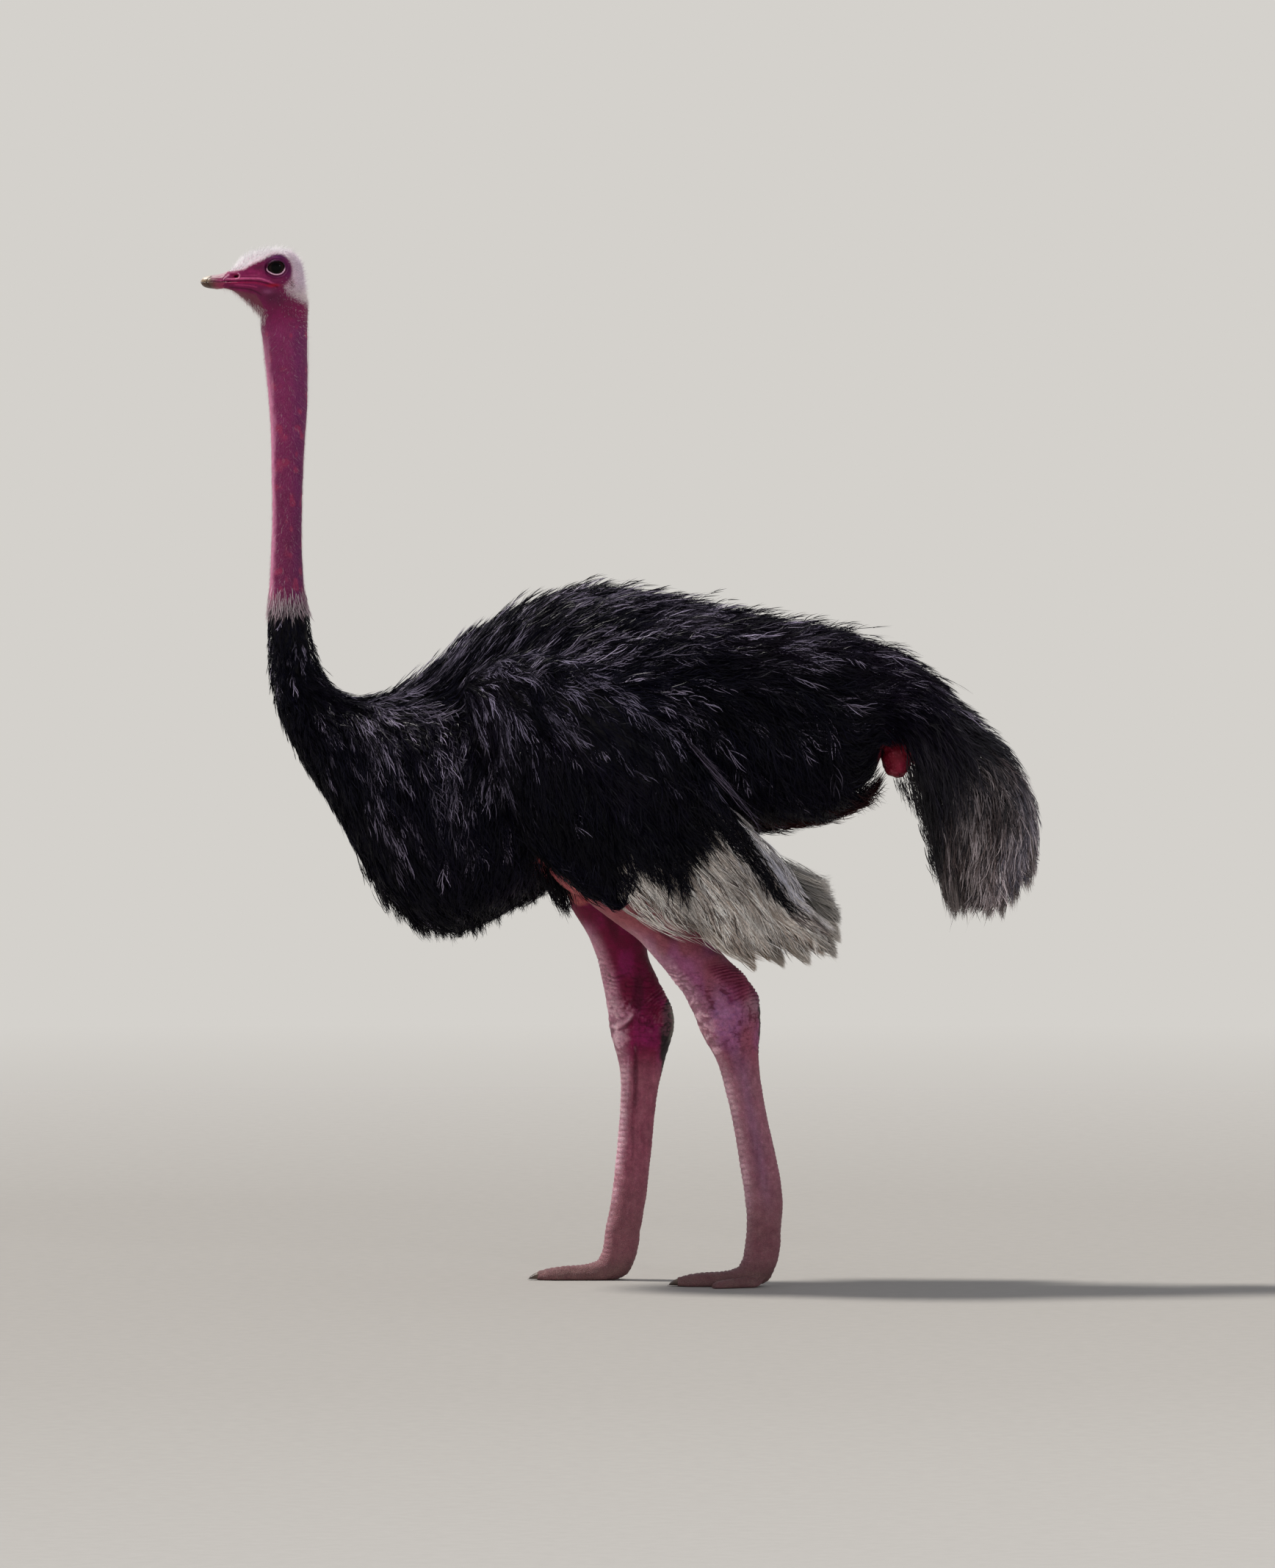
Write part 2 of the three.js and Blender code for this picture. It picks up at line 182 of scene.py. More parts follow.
class Body:
    """A smooth surface around a spine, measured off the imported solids.

    A place on it is s, the length along the spine, and turn, the share of the way round from the
    top or back by way of the right side. Each row of the spine is x, y, z and the tilt of its
    cross-section's own up, in degrees from upright towards +X. Gaps are the places along the spine
    and the gaps between cross-sections there, measured is the part of the spine they are taken on,
    and detail is the number of waves kept round each. Depth takes s, turn and the outer points, and
    says how far the skin lies under the coat's outer surface. Yaw turns it all, by degrees, about an
    upright line at x and y. Mirror evens out the two sides, or copies the side of that sign."""

    def __init__(self, nodes, spine, gaps, depth, measured=(0, 1), detail=9, pitch=4.0, around=192,
                 yaw=(0, 0, 0), mirror=None, outermost=False, angles=64):
        self.spine = np.array(spine, float)
        steps = np.linalg.norm(np.diff(self.spine[:, :3], axis=0), axis=1)
        self.knots = np.r_[0, np.cumsum(steps)]
        self.end = self.knots[-1]
        self.yaw, self.angles = yaw, angles
        margin = 0.3
        marks = [margin]
        while marks[-1] < self.end - margin:
            marks.append(min(marks[-1] + np.interp(marks[-1], *gaps), self.end - margin))
        self.marks = np.array(marks)
        tree = solids(nodes)
        centres, ups, side = self.middle(self.marks)
        table = np.full((len(marks), angles), np.nan)
        for i, s in enumerate(self.marks):
            if not measured[0] * self.end <= s <= measured[1] * self.end:
                continue
            for j in range(angles):
                a = 2 * math.pi * j / angles
                direction = Vector(ups[i] * math.cos(a) + side * math.sin(a)).normalized()
                table[i, j] = reach(tree, Vector(centres[i]), direction, outermost)
        table = filled(table)
        if mirror is not None:
            other = np.roll(table[:, ::-1], 1, 1)
            right = np.arange(angles) <= angles // 2
            one_sided = np.where(right == (mirror > 0), table, other)
            table = one_sided if mirror else (table + other) / 2
        table[1:-1] = (table[:-2] + 2 * table[1:-1] + table[2:]) / 4
        waves = np.fft.rfft(table, axis=1)
        fade = 1 - ease(detail - 2, detail + 2, np.arange(waves.shape[1]))
        self.waves = waves * fade
        self.depth = depth
        self.s = np.linspace(0, self.end, int(self.end / pitch) + 2)
        self.pitch = pitch = self.s[1]
        self.around = around
        self.outer = self.grid(self.s, around, 0)
        self.inner = self.grid(self.s, around, 1)
        along = np.gradient(self.outer, pitch, axis=0)
        across = (np.roll(self.outer, -1, 1) - np.roll(self.outer, 1, 1)) * around / 2
        self.stretch = np.stack([np.linalg.norm(along, axis=2), np.linalg.norm(across, axis=2)], 2)
        self.along, self.across = unit(along), unit(across)
        self.normal = unit(np.cross(along, across))
        self.heading = np.zeros((len(self.s), around, 2))
        self.heading[..., 0] = 1

    def middle(self, s):
        rows = curve(self.knots, self.spine, s)
        tilt = np.radians(rows[:, 3])
        ups = np.stack([np.sin(tilt), np.zeros_like(tilt), np.cos(tilt)], 1)
        centres, side = rows[:, :3].copy(), np.array([0.0, 1.0, 0.0])
        degrees, x, y = self.yaw
        if degrees:
            c, q = math.cos(math.radians(degrees)), math.sin(math.radians(degrees))
            spin = np.array([[c, -q, 0], [q, c, 0], [0, 0, 1]])
            pivot = np.array([x, y, 0])
            centres, ups, side = (centres - pivot) @ spin.T + pivot, ups @ spin.T, spin @ side
        return centres, ups, side

    def grid(self, s, around, share):
        """The points at each s and at even turns: share 0 on the coat, and 1 on the skin."""
        waves = curve(self.marks, self.waves, np.clip(s, self.marks[0], self.marks[-1]))
        full = np.zeros((len(s), around // 2 + 1), complex)
        keep = min(waves.shape[1], full.shape[1])
        full[:, :keep] = waves[:, :keep]
        radius = np.fft.irfft(full, around, axis=1) * around / self.angles
        centres, ups, side = self.middle(s)
        turn = np.arange(around) / around
        a = 2 * math.pi * turn[:, None]
        rays = np.cos(a) * ups[:, None] + np.sin(a) * side
        points = centres[:, None] + radius[..., None] * rays
        if share:
            radius = radius - share * self.depth(s[:, None], turn[None], points)
            points = centres[:, None] + np.maximum(radius, 1)[..., None] * rays
        return points

    def flow(self, towards):
        """Sets the lie of the coat from a function of points, normals and tangents along s."""
        lie = towards(self.outer, self.normal, self.along)
        pair = np.stack([(lie * self.along).sum(2), (lie * self.across).sum(2)], 2)
        self.heading = unit(pair)
        return self

    def read(self, table, s, turn):
        """A table's value at any places."""
        a = np.clip(s / self.pitch, 0, len(self.s) - 1.001)
        b = np.mod(turn, 1) * self.around
        i, j = a.astype(int), b.astype(int) % self.around
        p, q = (a - i)[..., None], (b - np.floor(b))[..., None]
        k = (j + 1) % self.around
        return (table[i, j] * (1 - q) + table[i, k] * q) * (1 - p) + (
            table[i + 1, j] * (1 - q) + table[i + 1, k] * q
        ) * p

    def place(self, s, turn, height):
        """Points at a share of the height from the skin, 0, to the coat's outer surface, 1."""
        low, high = self.read(self.inner, s, turn), self.read(self.outer, s, turn)
        beyond = np.maximum(s - self.s[-1], 0)[..., None]
        return mix(low, high, height[..., None]) + beyond * self.read(self.along, s, turn)

    def nearest(self, points):
        """The places on the coat's surface nearest to some points."""
        flat = self.outer.reshape(-1, 3)
        tree = KDTree(len(flat))
        for i, point in enumerate(flat):
            tree.insert(point, i)
        tree.balance()
        found = np.array([tree.find(point)[1] for point in points])
        return found // self.around * self.pitch, found % self.around / self.around

    def where(self, points):
        """The place of each point, wherever it lies, by the cross-section it is in."""
        s, _ = self.nearest(points)
        side = np.array([0.0, 1.0, 0.0])
        for _ in range(3):
            s = np.clip(s, 0.5, self.end - 0.5)
            centres, ups, side = self.middle(s)
            ahead = self.middle(s + 0.5)[0] - self.middle(s - 0.5)[0]
            across = np.cross(ups, side)
            gap = ((points - centres) * across).sum(1)
            s = s + np.clip(gap / (ahead * across).sum(1), -8, 8)
        away = points - centres
        return s, np.mod(np.arctan2(away @ side, (away * ups).sum(1)) / (2 * math.pi), 1)

    def scatter(self, count, density):
        """Random places, as thick on the ground as density says."""
        area = self.stretch[..., 0] * self.stretch[..., 1]
        area[-1] = 0
        total = np.cumsum((area * density).ravel())
        at = (np.arange(count) + rng.random(count)) / count * total[-1]
        cell = np.searchsorted(total, at)
        i, j = cell // self.around, cell % self.around
        return (i + rng.random(count)) * self.pitch, (j + rng.random(count)) / self.around

    def walk(self, s, turn, length, points, swing):
        """Steps from each place along the lie of the coat, turned by swing(share) radians."""
        step = length / (points - 1)
        trail = [(s, turn)]
        for k in range(points - 1):
            along, across = np.moveaxis(self.read(self.heading, s, turn), -1, 0)
            angle = np.arctan2(across, along) + swing(k / (points - 2 or 1))
            stretch = self.read(self.stretch, s, turn)
            s = s + np.cos(angle) * step / stretch[..., 0]
            turn = turn + np.sin(angle) * step / stretch[..., 1]
            trail.append((s, turn))
        return tuple(np.stack(t, 1) for t in zip(*trail))


# ------------------------------------------------------------------ meshes


def make_mesh(name, points, faces, smooth=True):
    """A mesh object from points in millimetres and arrays of faces, each with its own count of corners."""
    mesh = bpy.data.meshes.new(name)
    mesh.vertices.add(len(points))
    mesh.vertices.foreach_set("co", (np.asarray(points) / 1000).astype(np.float32).ravel())
    corners = np.concatenate([f.ravel() for f in faces]).astype(np.int32)
    sizes = np.concatenate([np.full(len(f), f.shape[1]) for f in faces])
    mesh.loops.add(len(corners))
    mesh.loops.foreach_set("vertex_index", corners)
    mesh.polygons.add(len(sizes))
    starts = np.concatenate([[0], np.cumsum(sizes)[:-1]]).astype(np.int32)
    mesh.polygons.foreach_set("loop_start", starts)
    mesh.polygons.foreach_set("use_smooth", np.full(len(sizes), smooth))
    mesh.update(calc_edges=True)
    piece = bpy.data.objects.new(name, mesh)
    bpy.context.scene.collection.objects.link(piece)
    return piece


def ring_faces(rows, around, start=0):
    """Quads between rings of points that lie row after row."""
    i, j = np.meshgrid(np.arange(rows - 1), np.arange(around), indexing="ij")
    k = (j + 1) % around
    quads = np.stack([i * around + j, (i + 1) * around + j, (i + 1) * around + k, i * around + k], -1)
    return quads.reshape(-1, 4) + start


def tube(parts):
    """A closed surface through blocks of rings, each block with half as many points round as the
    last or the same number, and a point at either end."""
    points, faces, start, before = [], [], 0, None
    for part in parts:
        rows, around = part.shape[:2]
        if before is not None:
            first, count = before
            j = np.arange(around)
            k = (j + 1) % around
            if count == around:
                faces.append(np.stack([first + j, start + j, start + k, first + k], 1))
            else:
                faces.append(np.stack([first + 2 * j, start + j, first + 2 * j + 1], 1))
                faces.append(
                    np.stack([first + 2 * j + 1, start + j, start + k, first + (2 * j + 2) % count], 1)
                )
        points.append(part.reshape(-1, 3))
        faces.append(ring_faces(rows, around, start))
        before = (start + (rows - 1) * around, around)
        start += rows * around
    first = parts[0].shape[1]
    j = np.arange(first)
    faces.append(np.stack([np.full(first, start), j, (j + 1) % first], 1))
    last, count = before
    j = np.arange(count)
    faces.append(np.stack([np.full(count, start + 1), last + (j + 1) % count, last + j], 1))
    points += [parts[0][0].mean(0)[None], parts[-1][-1].mean(0)[None]]
    return np.concatenate(points), faces


def grid_normals(points):
    along = np.gradient(points, axis=0)
    across = np.roll(points, -1, 1) - np.roll(points, 1, 1)
    return unit(np.cross(along, across))


def arrays(piece):
    """A mesh's points in millimetres and its normals."""
    mesh = piece.data
    co = np.empty(len(mesh.vertices) * 3, np.float32)
    mesh.vertices.foreach_get("co", co)
    normals = np.empty_like(co)
    mesh.vertex_normals.foreach_get("vector", normals)
    return co.reshape(-1, 3).astype(float) * 1000, normals.reshape(-1, 3).astype(float)


def paint(piece, colours, name="Tint"):
    layer = piece.data.color_attributes.new(name, "FLOAT_COLOR", "POINT")
    rgba = np.ones((len(colours), 4), np.float32)
    rgba[:, : colours.shape[1]] = colours
    layer.data.foreach_set("color", rgba.ravel())


def merge_solids(main, others):
    """Joins closed meshes into one skin with no seam."""
    for other in others:
        union = main.modifiers.new("union", "BOOLEAN")
        union.operation, union.solver, union.object = "UNION", "MANIFOLD", other
    graph = bpy.context.evaluated_depsgraph_get()
    mesh = bpy.data.meshes.new_from_object(main.evaluated_get(graph))
    main.modifiers.clear()
    old, main.data = main.data, mesh
    mesh.name = main.name
    bpy.data.meshes.remove(old)
    for other in others:
        bpy.data.objects.remove(other)
    mesh.polygons.foreach_set("use_smooth", np.full(len(mesh.polygons), True))
    return main


# ------------------------------------------------------------------ the bird's own shapes

# Spines run from the bill to the rump, down each leg to the tip of its big toe, along each wing and
# down the tail.
AXIS_SPINE = [
    (-916.5, 0, 2181.5, 0),
    (-896, 0, 2181, -3),
    (-868, 0, 2181.5, 2),
    (-847, 0, 2183, 3),
    (-811, 0, 2184.5, 3),
    (-787, 0, 2182.5, 9),
    (-771, 0, 2178, 15),
    (-754, 0, 2173, 24),
    (-741, 0, 2160, 33),
    (-736, 0, 2140, 43),
    (-734, 0, 2112, 56),
    (-733, 0, 2080, 72),
    (-732, 0, 2045, 86),
    (-728, 0, 1980, 90),
    (-727, 0, 1880, 90),
    (-728, 0, 1750, 90),
    (-730, 0, 1600, 90),
    (-728, 0, 1475, 85),
    (-722, 0, 1390, 76),
    (-701, 0, 1300, 61),
    (-655, 0, 1222, 40),
    (-603, 0, 1176, 26),
    (-553, 0, 1138, 16),
    (-490, 0, 1100, 9),
    (-400, 0, 1085, 5),
    (-277, 0, 1128, 2),
    (-77, 0, 1201, 0),
    (133, 0, 1221, 0),
    (341, 0, 1225, 0),
    (480, 0, 1232, -2),
    (560, 0, 1250, -3),
    (592, 0, 1262, -2),
]
LEG_SPINE = {
    "left": [(-41, 996, 72), (57, 818, 85), (161, 700, 80), (227, 610, 70), (238, 567, 70), (253, 490, 80),
             (272, 393, 85), (295, 277, 80), (310, 165, 77), (308, 117, 77)],
    "right": [(-60, 978, 76), (-26, 818, 83), (-12, 761, 86), (22, 645, 87), (44, 554, 86), (42, 469, 89),
              (33, 360, 90), (22, 240, 90), (9, 144, 87), (2, 108, 84)],
}
TOE_SPINE = [(-7, 57, 97), (-22, 28, 114), (-54, 15, 140), (-87, 14, 161), (-120, 14, 176), (-150, 12, 180),
             (-174, 10, 180), (-188, 8, 180)]
WING_SPINE = [(-351, 166, 1305, 12), (-271, 226, 1274, 13), (-186, 264, 1212, 19), (-95, 276, 1130, 21),
              (1, 272, 1046, 24), (89, 262, 978, 25), (171, 250, 913, 26), (255, 238, 857, 29),
              (336, 226, 798, 30), (408, 214, 774, 24), (460, 203, 764, 14)]
TAIL_SPINE = [(618, 1238, 8), (645, 1214, 14), (691, 1171, 24), (730, 1124, 36), (764, 1070, 46),
              (787, 1010, 53), (800, 952, 59), (806, 896, 64), (810, 846, 70), (809, 808, 75)]
HIP_Y = 108
FOOT_X = {"left": 308, "right": 2}

# The edge of the bare face, from the culmen over the eye and down behind the cheek to the nape.
FACE_EDGE = [(-853, 2204), (-832, 2206), (-819, 2209), (-806, 2217), (-795, 2222), (-779, 2229), (-763, 2238),
             (-747, 2241), (-734, 2237), (-722, 2226), (-717, 2210), (-719, 2194), (-728, 2182), (-735, 2174),
             (-733, 2162), (-726, 2150), (-712, 2140), (-690, 2129)]


def line_distance(x, z, points, count=80):
    """Each place's distance from a smooth line in side view, and the share of the line it is at."""
    points = np.asarray(points, float)
    knots = np.arange(len(points))
    fine = curve(knots, points, np.linspace(0, len(points) - 1, count))
    near = np.full(x.shape, 1e9)
    share = np.zeros(x.shape)
    for k in range(count - 1):
        a, b = fine[k], fine[k + 1]
        d = b - a
        t = np.clip(((x - a[0]) * d[0] + (z - a[1]) * d[1]) / max(d @ d, 1e-9), 0, 1)
        gap = np.hypot(x - a[0] - t * d[0], z - a[1] - t * d[1])
        closer = gap < near
        near[closer] = gap[closer]
        share[closer] = (k + t[closer]) / (count - 1)
    return near, share


def drawn(x, z, strokes, steps):
    """The relief of lines in side view: each stroke is a line, its width and height, and its fade."""
    total = np.zeros(x.shape)
    for line, width, height, fade in strokes:
        gap, share = line_distance(x, z, line, steps)
        total += height * bell(gap, width) * ease(0, fade, share) * ease(0, fade, 1 - share)
    return total


def over_edge(x, z):
    """Above 0 where the head's down grows, below 0 on the bare face: the distance from its edge."""
    marks, edge = np.arange(len(FACE_EDGE)), np.array(FACE_EDGE, float)
    near, share = line_distance(x, z, edge)
    shares = (share, np.minimum(share + 0.01, 1), np.maximum(share - 0.01, 0))
    here, ahead, behind = (curve(marks, edge, share * marks[-1]) for share in shares)
    run = ahead - behind
    return near * np.sign(run[..., 0] * (z - here[..., 1]) - run[..., 1] * (x - here[..., 0]))


def from_top(turn):
    """0 along the crown or back, and 0.5 along the throat or belly."""
    return np.abs(np.mod(turn + 0.5, 1) - 0.5)


def down_cover(x, z):
    """1 where down grows from the crown to the nape, 0 on the bare face and neck."""
    fade = 4 + 26 * ease(-745, -715, x) * ease(2205, 2165, z)
    return ease(-3, fade, over_edge(x, z)) * ease(-864, -848, x) * ease(2075, 2135, z + 0.6 * (x + 690))


def down_share(x, z, turn):
    """How thick the head's white down stands, from 0 to 1."""
    fade = np.interp(x, [-853, -835, -800, -740, -700], [7, 16, 26, 26, 34])
    crown = ease(-2, fade, over_edge(x, z)) * ease(-866, -842, x)
    nape = ease(2030, 2150, z + 0.6 * (x + 690))
    chin = 0.55 * ease(0.34, 0.45, from_top(turn)) * ease(-884, -862, x) * ease(2060, 2120, z)
    return np.maximum(crown * nape, chin)


def horn_ahead(x, z):
    """How far a place lies ahead of the slanting edge of the bill's horn."""
    upper = -868 + 12 * (z - 2184) / 20
    lower = -856 - 24 * (2182 - z) / 17
    return np.where(z > 2182.5, upper, lower) - x


def coat_depth(s, turn, points):
    """How far the skin lies under the coat's outer surface, from the bill to the tail."""
    x, z = points[..., 0], points[..., 2]
    head = 12.5 * down_share(x, z, turn) + 1.3 * ease(0, 4, horn_ahead(x, z))
    way = s - AXIS_COLLAR
    body = np.interp(way, [0, 40, 110, 260, 420, 700, 1300, 1500], [3, 9, 18, 27, 36, 42, 46, 52])
    body = body * (1 - 0.3 * ease(0.3, 0.46, from_top(turn)) * ease(200, 500, way))
    neck = np.interp(s, [AXIS_NECK - 110, AXIS_NECK, AXIS_NECK + 150, AXIS_COLLAR], [0, 4.5, 3, 3])
    return np.where(way > 0, body, np.maximum(head, neck))


def axis_depth(s, turn, points):
    """The same, with the rump drawn in where the tail's own skin takes over."""
    return coat_depth(s, turn, points) + 50 * ease(-60, 0, s - AXIS_END)


spine = np.array(AXIS_SPINE, float)
knots = np.r_[0, np.cumsum(np.linalg.norm(np.diff(spine[:, :3], axis=0), axis=1))]
AXIS_NECK, AXIS_COLLAR, AXIS_END = knots[12], knots[17], knots[-1]
AXIS_NODES = ["head", "bill_upper", "bill_lower", "eye_left", "eye_right", "neck_upper", "neck_middle",
              "neck_lower", "trunk"]
axis = Body(
    AXIS_NODES,
    AXIS_SPINE,
    gaps=([0, AXIS_NECK, AXIS_NECK + 60, AXIS_COLLAR, AXIS_END], [4, 6, 14, 14, 22]),
    depth=axis_depth,
    mirror=0,
)


# The trunk, the folded wings and the tail under one hull, which carries the black plumage.
TAIL_ROWS = [(x, 0, z, tilt) for x, z, tilt in TAIL_SPINE]
mantle = Body(
    AXIS_NODES + ["wing_left", "wing_right", "tail", "vent"],
    AXIS_SPINE[:-2] + [(560, 0, 1243, -1), (604, 0, 1236, 5)] + TAIL_ROWS[1:],
    gaps=([0, AXIS_NECK, AXIS_NECK + 60, AXIS_COLLAR, AXIS_END], [30, 30, 20, 14, 16]),
    depth=coat_depth,
    measured=(0, 0.973),
    detail=20,
    pitch=6,
    around=256,
    mirror=0,
    outermost=True,
    angles=96,
)


def leg_rows(name, sign):
    rows = [(x, sign * HIP_Y, z, tilt) for x, z, tilt in LEG_SPINE[name]]
    for x, z, tilt in TOE_SPINE:
        rows.append((FOOT_X[name] + x, sign * (HIP_Y + 0.052 * x), z, tilt))
    return rows


def bare(s, turn, points):
    """No coat: the skin is the surface itself."""
    return 0 * points[..., 0]


def wing_depth(s, turn, points):
    return np.interp(s, [0, 60, 160, 500, 620, 900], [30, 40, 32, 27, 24, 8])


def tail_depth(s, turn, points):
    return np.interp(s, [0, 150, 300, 560], [45, 55, 60, 40])


legs, outer_toes, wings = {}, {}, {}
for name, sign in SIDES:
    nodes = [f"{kind}_{name}" for kind in ("shank", "tarsus", "toe_inner", "claw")]
    legs[name] = Body(nodes, leg_rows(name, sign), ([0, 400, 900, 1200], [16, 12, 9, 7]), bare,
                      measured=(0.13, 1), detail=10, pitch=2.8, around=96)
    # The outer toe is a smaller copy of the inner one, beside it and turned outwards.
    toe_y = sign * (HIP_Y + 14)
    rows = [(FOOT_X[name] + x * 0.65, toe_y, z * 0.65, tilt) for x, z, tilt in TOE_SPINE]
    outer_toes[name] = Body([f"toe_outer_{name}"], rows, ([0, 200], [6, 6]), bare, detail=10, pitch=2.8,
                            around=64, yaw=(-25 * sign, FOOT_X[name], toe_y), mirror=sign)
    rows = [(x, sign * y, z, tilt) for x, y, z, tilt in WING_SPINE]
    wings[name] = Body([f"wing_{name}", f"wing_plumes_{name}"], rows, ([0, 1000], [16, 16]), wing_depth,
                       measured=(0, 0.9), detail=16, pitch=6, around=128)
tail = Body(["tail", "vent"], TAIL_ROWS, ([0, 1000], [16, 16]), tail_depth, measured=(0, 0.86), detail=16,
            pitch=6, around=128, mirror=0)


# ------------------------------------------------------------------ the sculpted head

NOSTRIL = (-838.6, 2193.8)
NOSTRIL_FLAP = [(-836, 2201.5), (-831, 2196.5), (-833, 2189.5), (-842, 2187.6)]
MOUTH = [(-868, 2182), (-847, 2183), (-811, 2184.5), (-787, 2182.5), (-771, 2178), (-754, 2173), (-747, 2170)]
# Lines over the head in side view, as drawn() takes them: the line, its width and height, and the
# share of it over which each end fades.
STROKES = [
    (MOUTH, 1.2, -2.6, 0.06),
    (
        [(-868, 2186.8), (-835, 2188), (-803, 2188.5), (-780, 2186.5), (-765, 2182), (-750, 2175.5)],
        2.3,
        1.2,
        0.12,
    ),
    ([(-866, 2179), (-847, 2179), (-811, 2180), (-787, 2177.5), (-768, 2173), (-752, 2168)], 2.1, 1.0, 0.12),
    ([(-847, 2175.6), (-811, 2173.2), (-787, 2169), (-768, 2163)], 1.8, 0.7, 0.2),
    ([(-850, 2171), (-843, 2169.6), (-811, 2166.4), (-791, 2158.4), (-780, 2150)], 2.0, -1.5, 0.2),
    ([(-862, 2190.4), (-835, 2191.4), (-800, 2191.6), (-778, 2190)], 1.0, -0.7, 0.15),
    ([(-828, 2196), (-803, 2198), (-785, 2196)], 2.5, -0.6, 0.3),
    ([(-752, 2181), (-744, 2173), (-748, 2162)], 4.0, 1.6, 0.3),
    ([(-868, 2185.6), (-862, 2191), (-855, 2198)], 1.1, 0.8, 0.15),
    (NOSTRIL_FLAP, 1.2, 1.1, 0.15),
    ([(-777, 2219), (-762, 2230), (-747, 2234), (-730, 2229)], 4.0, 1.8, 0.25),
    ([(-722, 2222), (-715, 2210), (-718, 2196)], 4.0, 1.0, 0.3),
    ([(-783, 2150), (-765, 2128), (-757, 2105)], 5.0, -1.2, 0.3),
]
EYE_AXES = np.array([25.0, 20.0, 25.0])
EYE_AT = np.array([-750.0, 25.6, 2212.0])
# How far the lids' edge lies from the eye's middle, by the angle from the rear upwards, in degrees.
LID_ANGLES = [0, 34, 90, 125, 165, 188, 222, 270, 320, 360]
LID_EDGE = [17.6, 17.4, 13.6, 14.4, 18.6, 20.6, 16.2, 14.0, 15.8, 17.6]


def lid_edge(angle):
    """The almond outline between the lids."""
    degrees = np.mod(np.degrees(angle), 360)
    return curve(LID_ANGLES, np.array(LID_EDGE), degrees)


def bulge(rho, more=0.0):
    """How far out the eyeball's surface stands at a distance from its middle, or a layer over it."""
    a, b = EYE_AXES[0] + more, EYE_AXES[1] + more
    return EYE_AT[1] + b * np.sqrt(np.clip(1 - (rho / a) ** 2, 0, 1))


def sculpt_head(points):
    """The face's own forms, on the smooth head."""
    normal = grid_normals(points)
    x, y, z = points[..., 0], points[..., 1], points[..., 2]
    facing = np.abs(normal[..., 1])
    lift = np.zeros(x.shape)
    near = (x < -690) & (z > 2080)
    px, pz = x[near], z[near]
    local = drawn(px, pz, STROKES, 40)
    # The nostril's hollow with the slot in it, and the flap above it.
    nx, nz = px - NOSTRIL[0], pz - NOSTRIL[1]
    nx, nz = 0.97 * nx + 0.24 * nz, 0.97 * nz - 0.24 * nx
    local -= 1.8 * bell(np.hypot((nx + 4) / 11, nz / 5), 1)
    local -= 5.5 * ease(1.25, 0.7, np.hypot(nx / 5.6, nz / 2.7))
    local += 1.5 * bell(np.hypot((px + 846) / 8, (pz - 2199.5) / 2.6), 1)
    # Hollows ahead of and under the eye, the cheek, and the ear's slot with its rim.
    local -= 3.2 * bell(np.hypot((px + 792) / 17, (pz - 2205) / 10), 1)
    local += 1.6 * bell(np.hypot((px + 765) / 22, (pz - 2160) / 12), 1)
    local -= 4.5 * bell(line_distance(px, pz, [(-717, 2181), (-715.5, 2175), (-716, 2168)], 12)[0], 2.0)
    local += drawn(px, pz, [([(-711, 2186), (-708.5, 2175), (-711, 2162)], 3.0, 1.6, 0.2)], 12)
    local += 0.35 * noise(points[near], 7, 3) + 0.2 * noise(points[near], 3.2, 4)
    lift[near] = local * ease(0.25, 0.6, facing[near])
    points = points + normal * lift[..., None]
    # The lids: a layer over the eyeball that melts into the face, and nothing in front of the eye.
    x, y, z = points[..., 0], points[..., 1], points[..., 2]
    dx, dz = x - EYE_AT[0], z - EYE_AT[2]
    rho, angle = np.hypot(dx, dz), np.arctan2(dz, dx)
    side, out = np.sign(y), np.abs(y)
    edge = lid_edge(angle)
    over = np.sin(angle)
    crease = bell(rho - edge - 5.2, 1.1) * ease(-0.15, 0.3, over) * 1.7
    crease += (bell(rho - edge - 4.6, 0.9) * 1.1 + bell(rho - edge - 8.5, 1.2) * 0.8) * ease(0.1, -0.3, over)
    lid = bulge(rho, 1.9 + 0.8 * bell(rho - edge - 1.6, 1.5)) - crease
    sunk = out - 3.0 * bell(rho - 27, 7) * ease(12, 20, rho)
    lid = np.where(rho < EYE_AXES[0] + 1.5, lid, sunk - 1)
    blend = ease(edge + 11.5, edge + 4.0, rho)
    new = mix(sunk, lid, blend)
    inside = ease(edge + 0.4, edge - 0.6, rho)
    new = mix(new, bulge(rho) - 5.0, inside)
    near = (rho < 44) & (facing > 0.15) & (out > 12)
    points[..., 1] = np.where(near, side * new, y)
    return points


# Folds and hollows about each hock in side view, as drawn() takes them, and swellings: x, z, half
# the width and height, and how far they stand out.
LEG_STROKES = {
    "right": [([(22, 606), (20, 588), (8, 572), (-8, 562), (-26, 552)], 6, 3.4, 0.2),
              ([(26, 574), (8, 557), (-14, 546)], 3, -2.4, 0.2),
              ([(40, 676), (35, 630), (34, 586)], 8, -3.8, 0.2),
              ([(30, 522), (30, 440), (26, 380), (20, 300)], 4, -3.0, 0.15),
              ([(14, 500), (13, 440), (12, 380)], 2.4, 1.0, 0.2)],
    "left": [([(208, 652), (228, 636), (244, 612)], 7, -3.4, 0.2),
             ([(176, 662), (196, 620), (200, 590)], 7, -1.6, 0.3),
             ([(262, 600), (252, 560), (262, 500), (276, 420)], 7, -1.2, 0.3),
             ([(216, 560), (226, 520), (240, 470), (250, 430)], 7, -1.0, 0.3)],
}
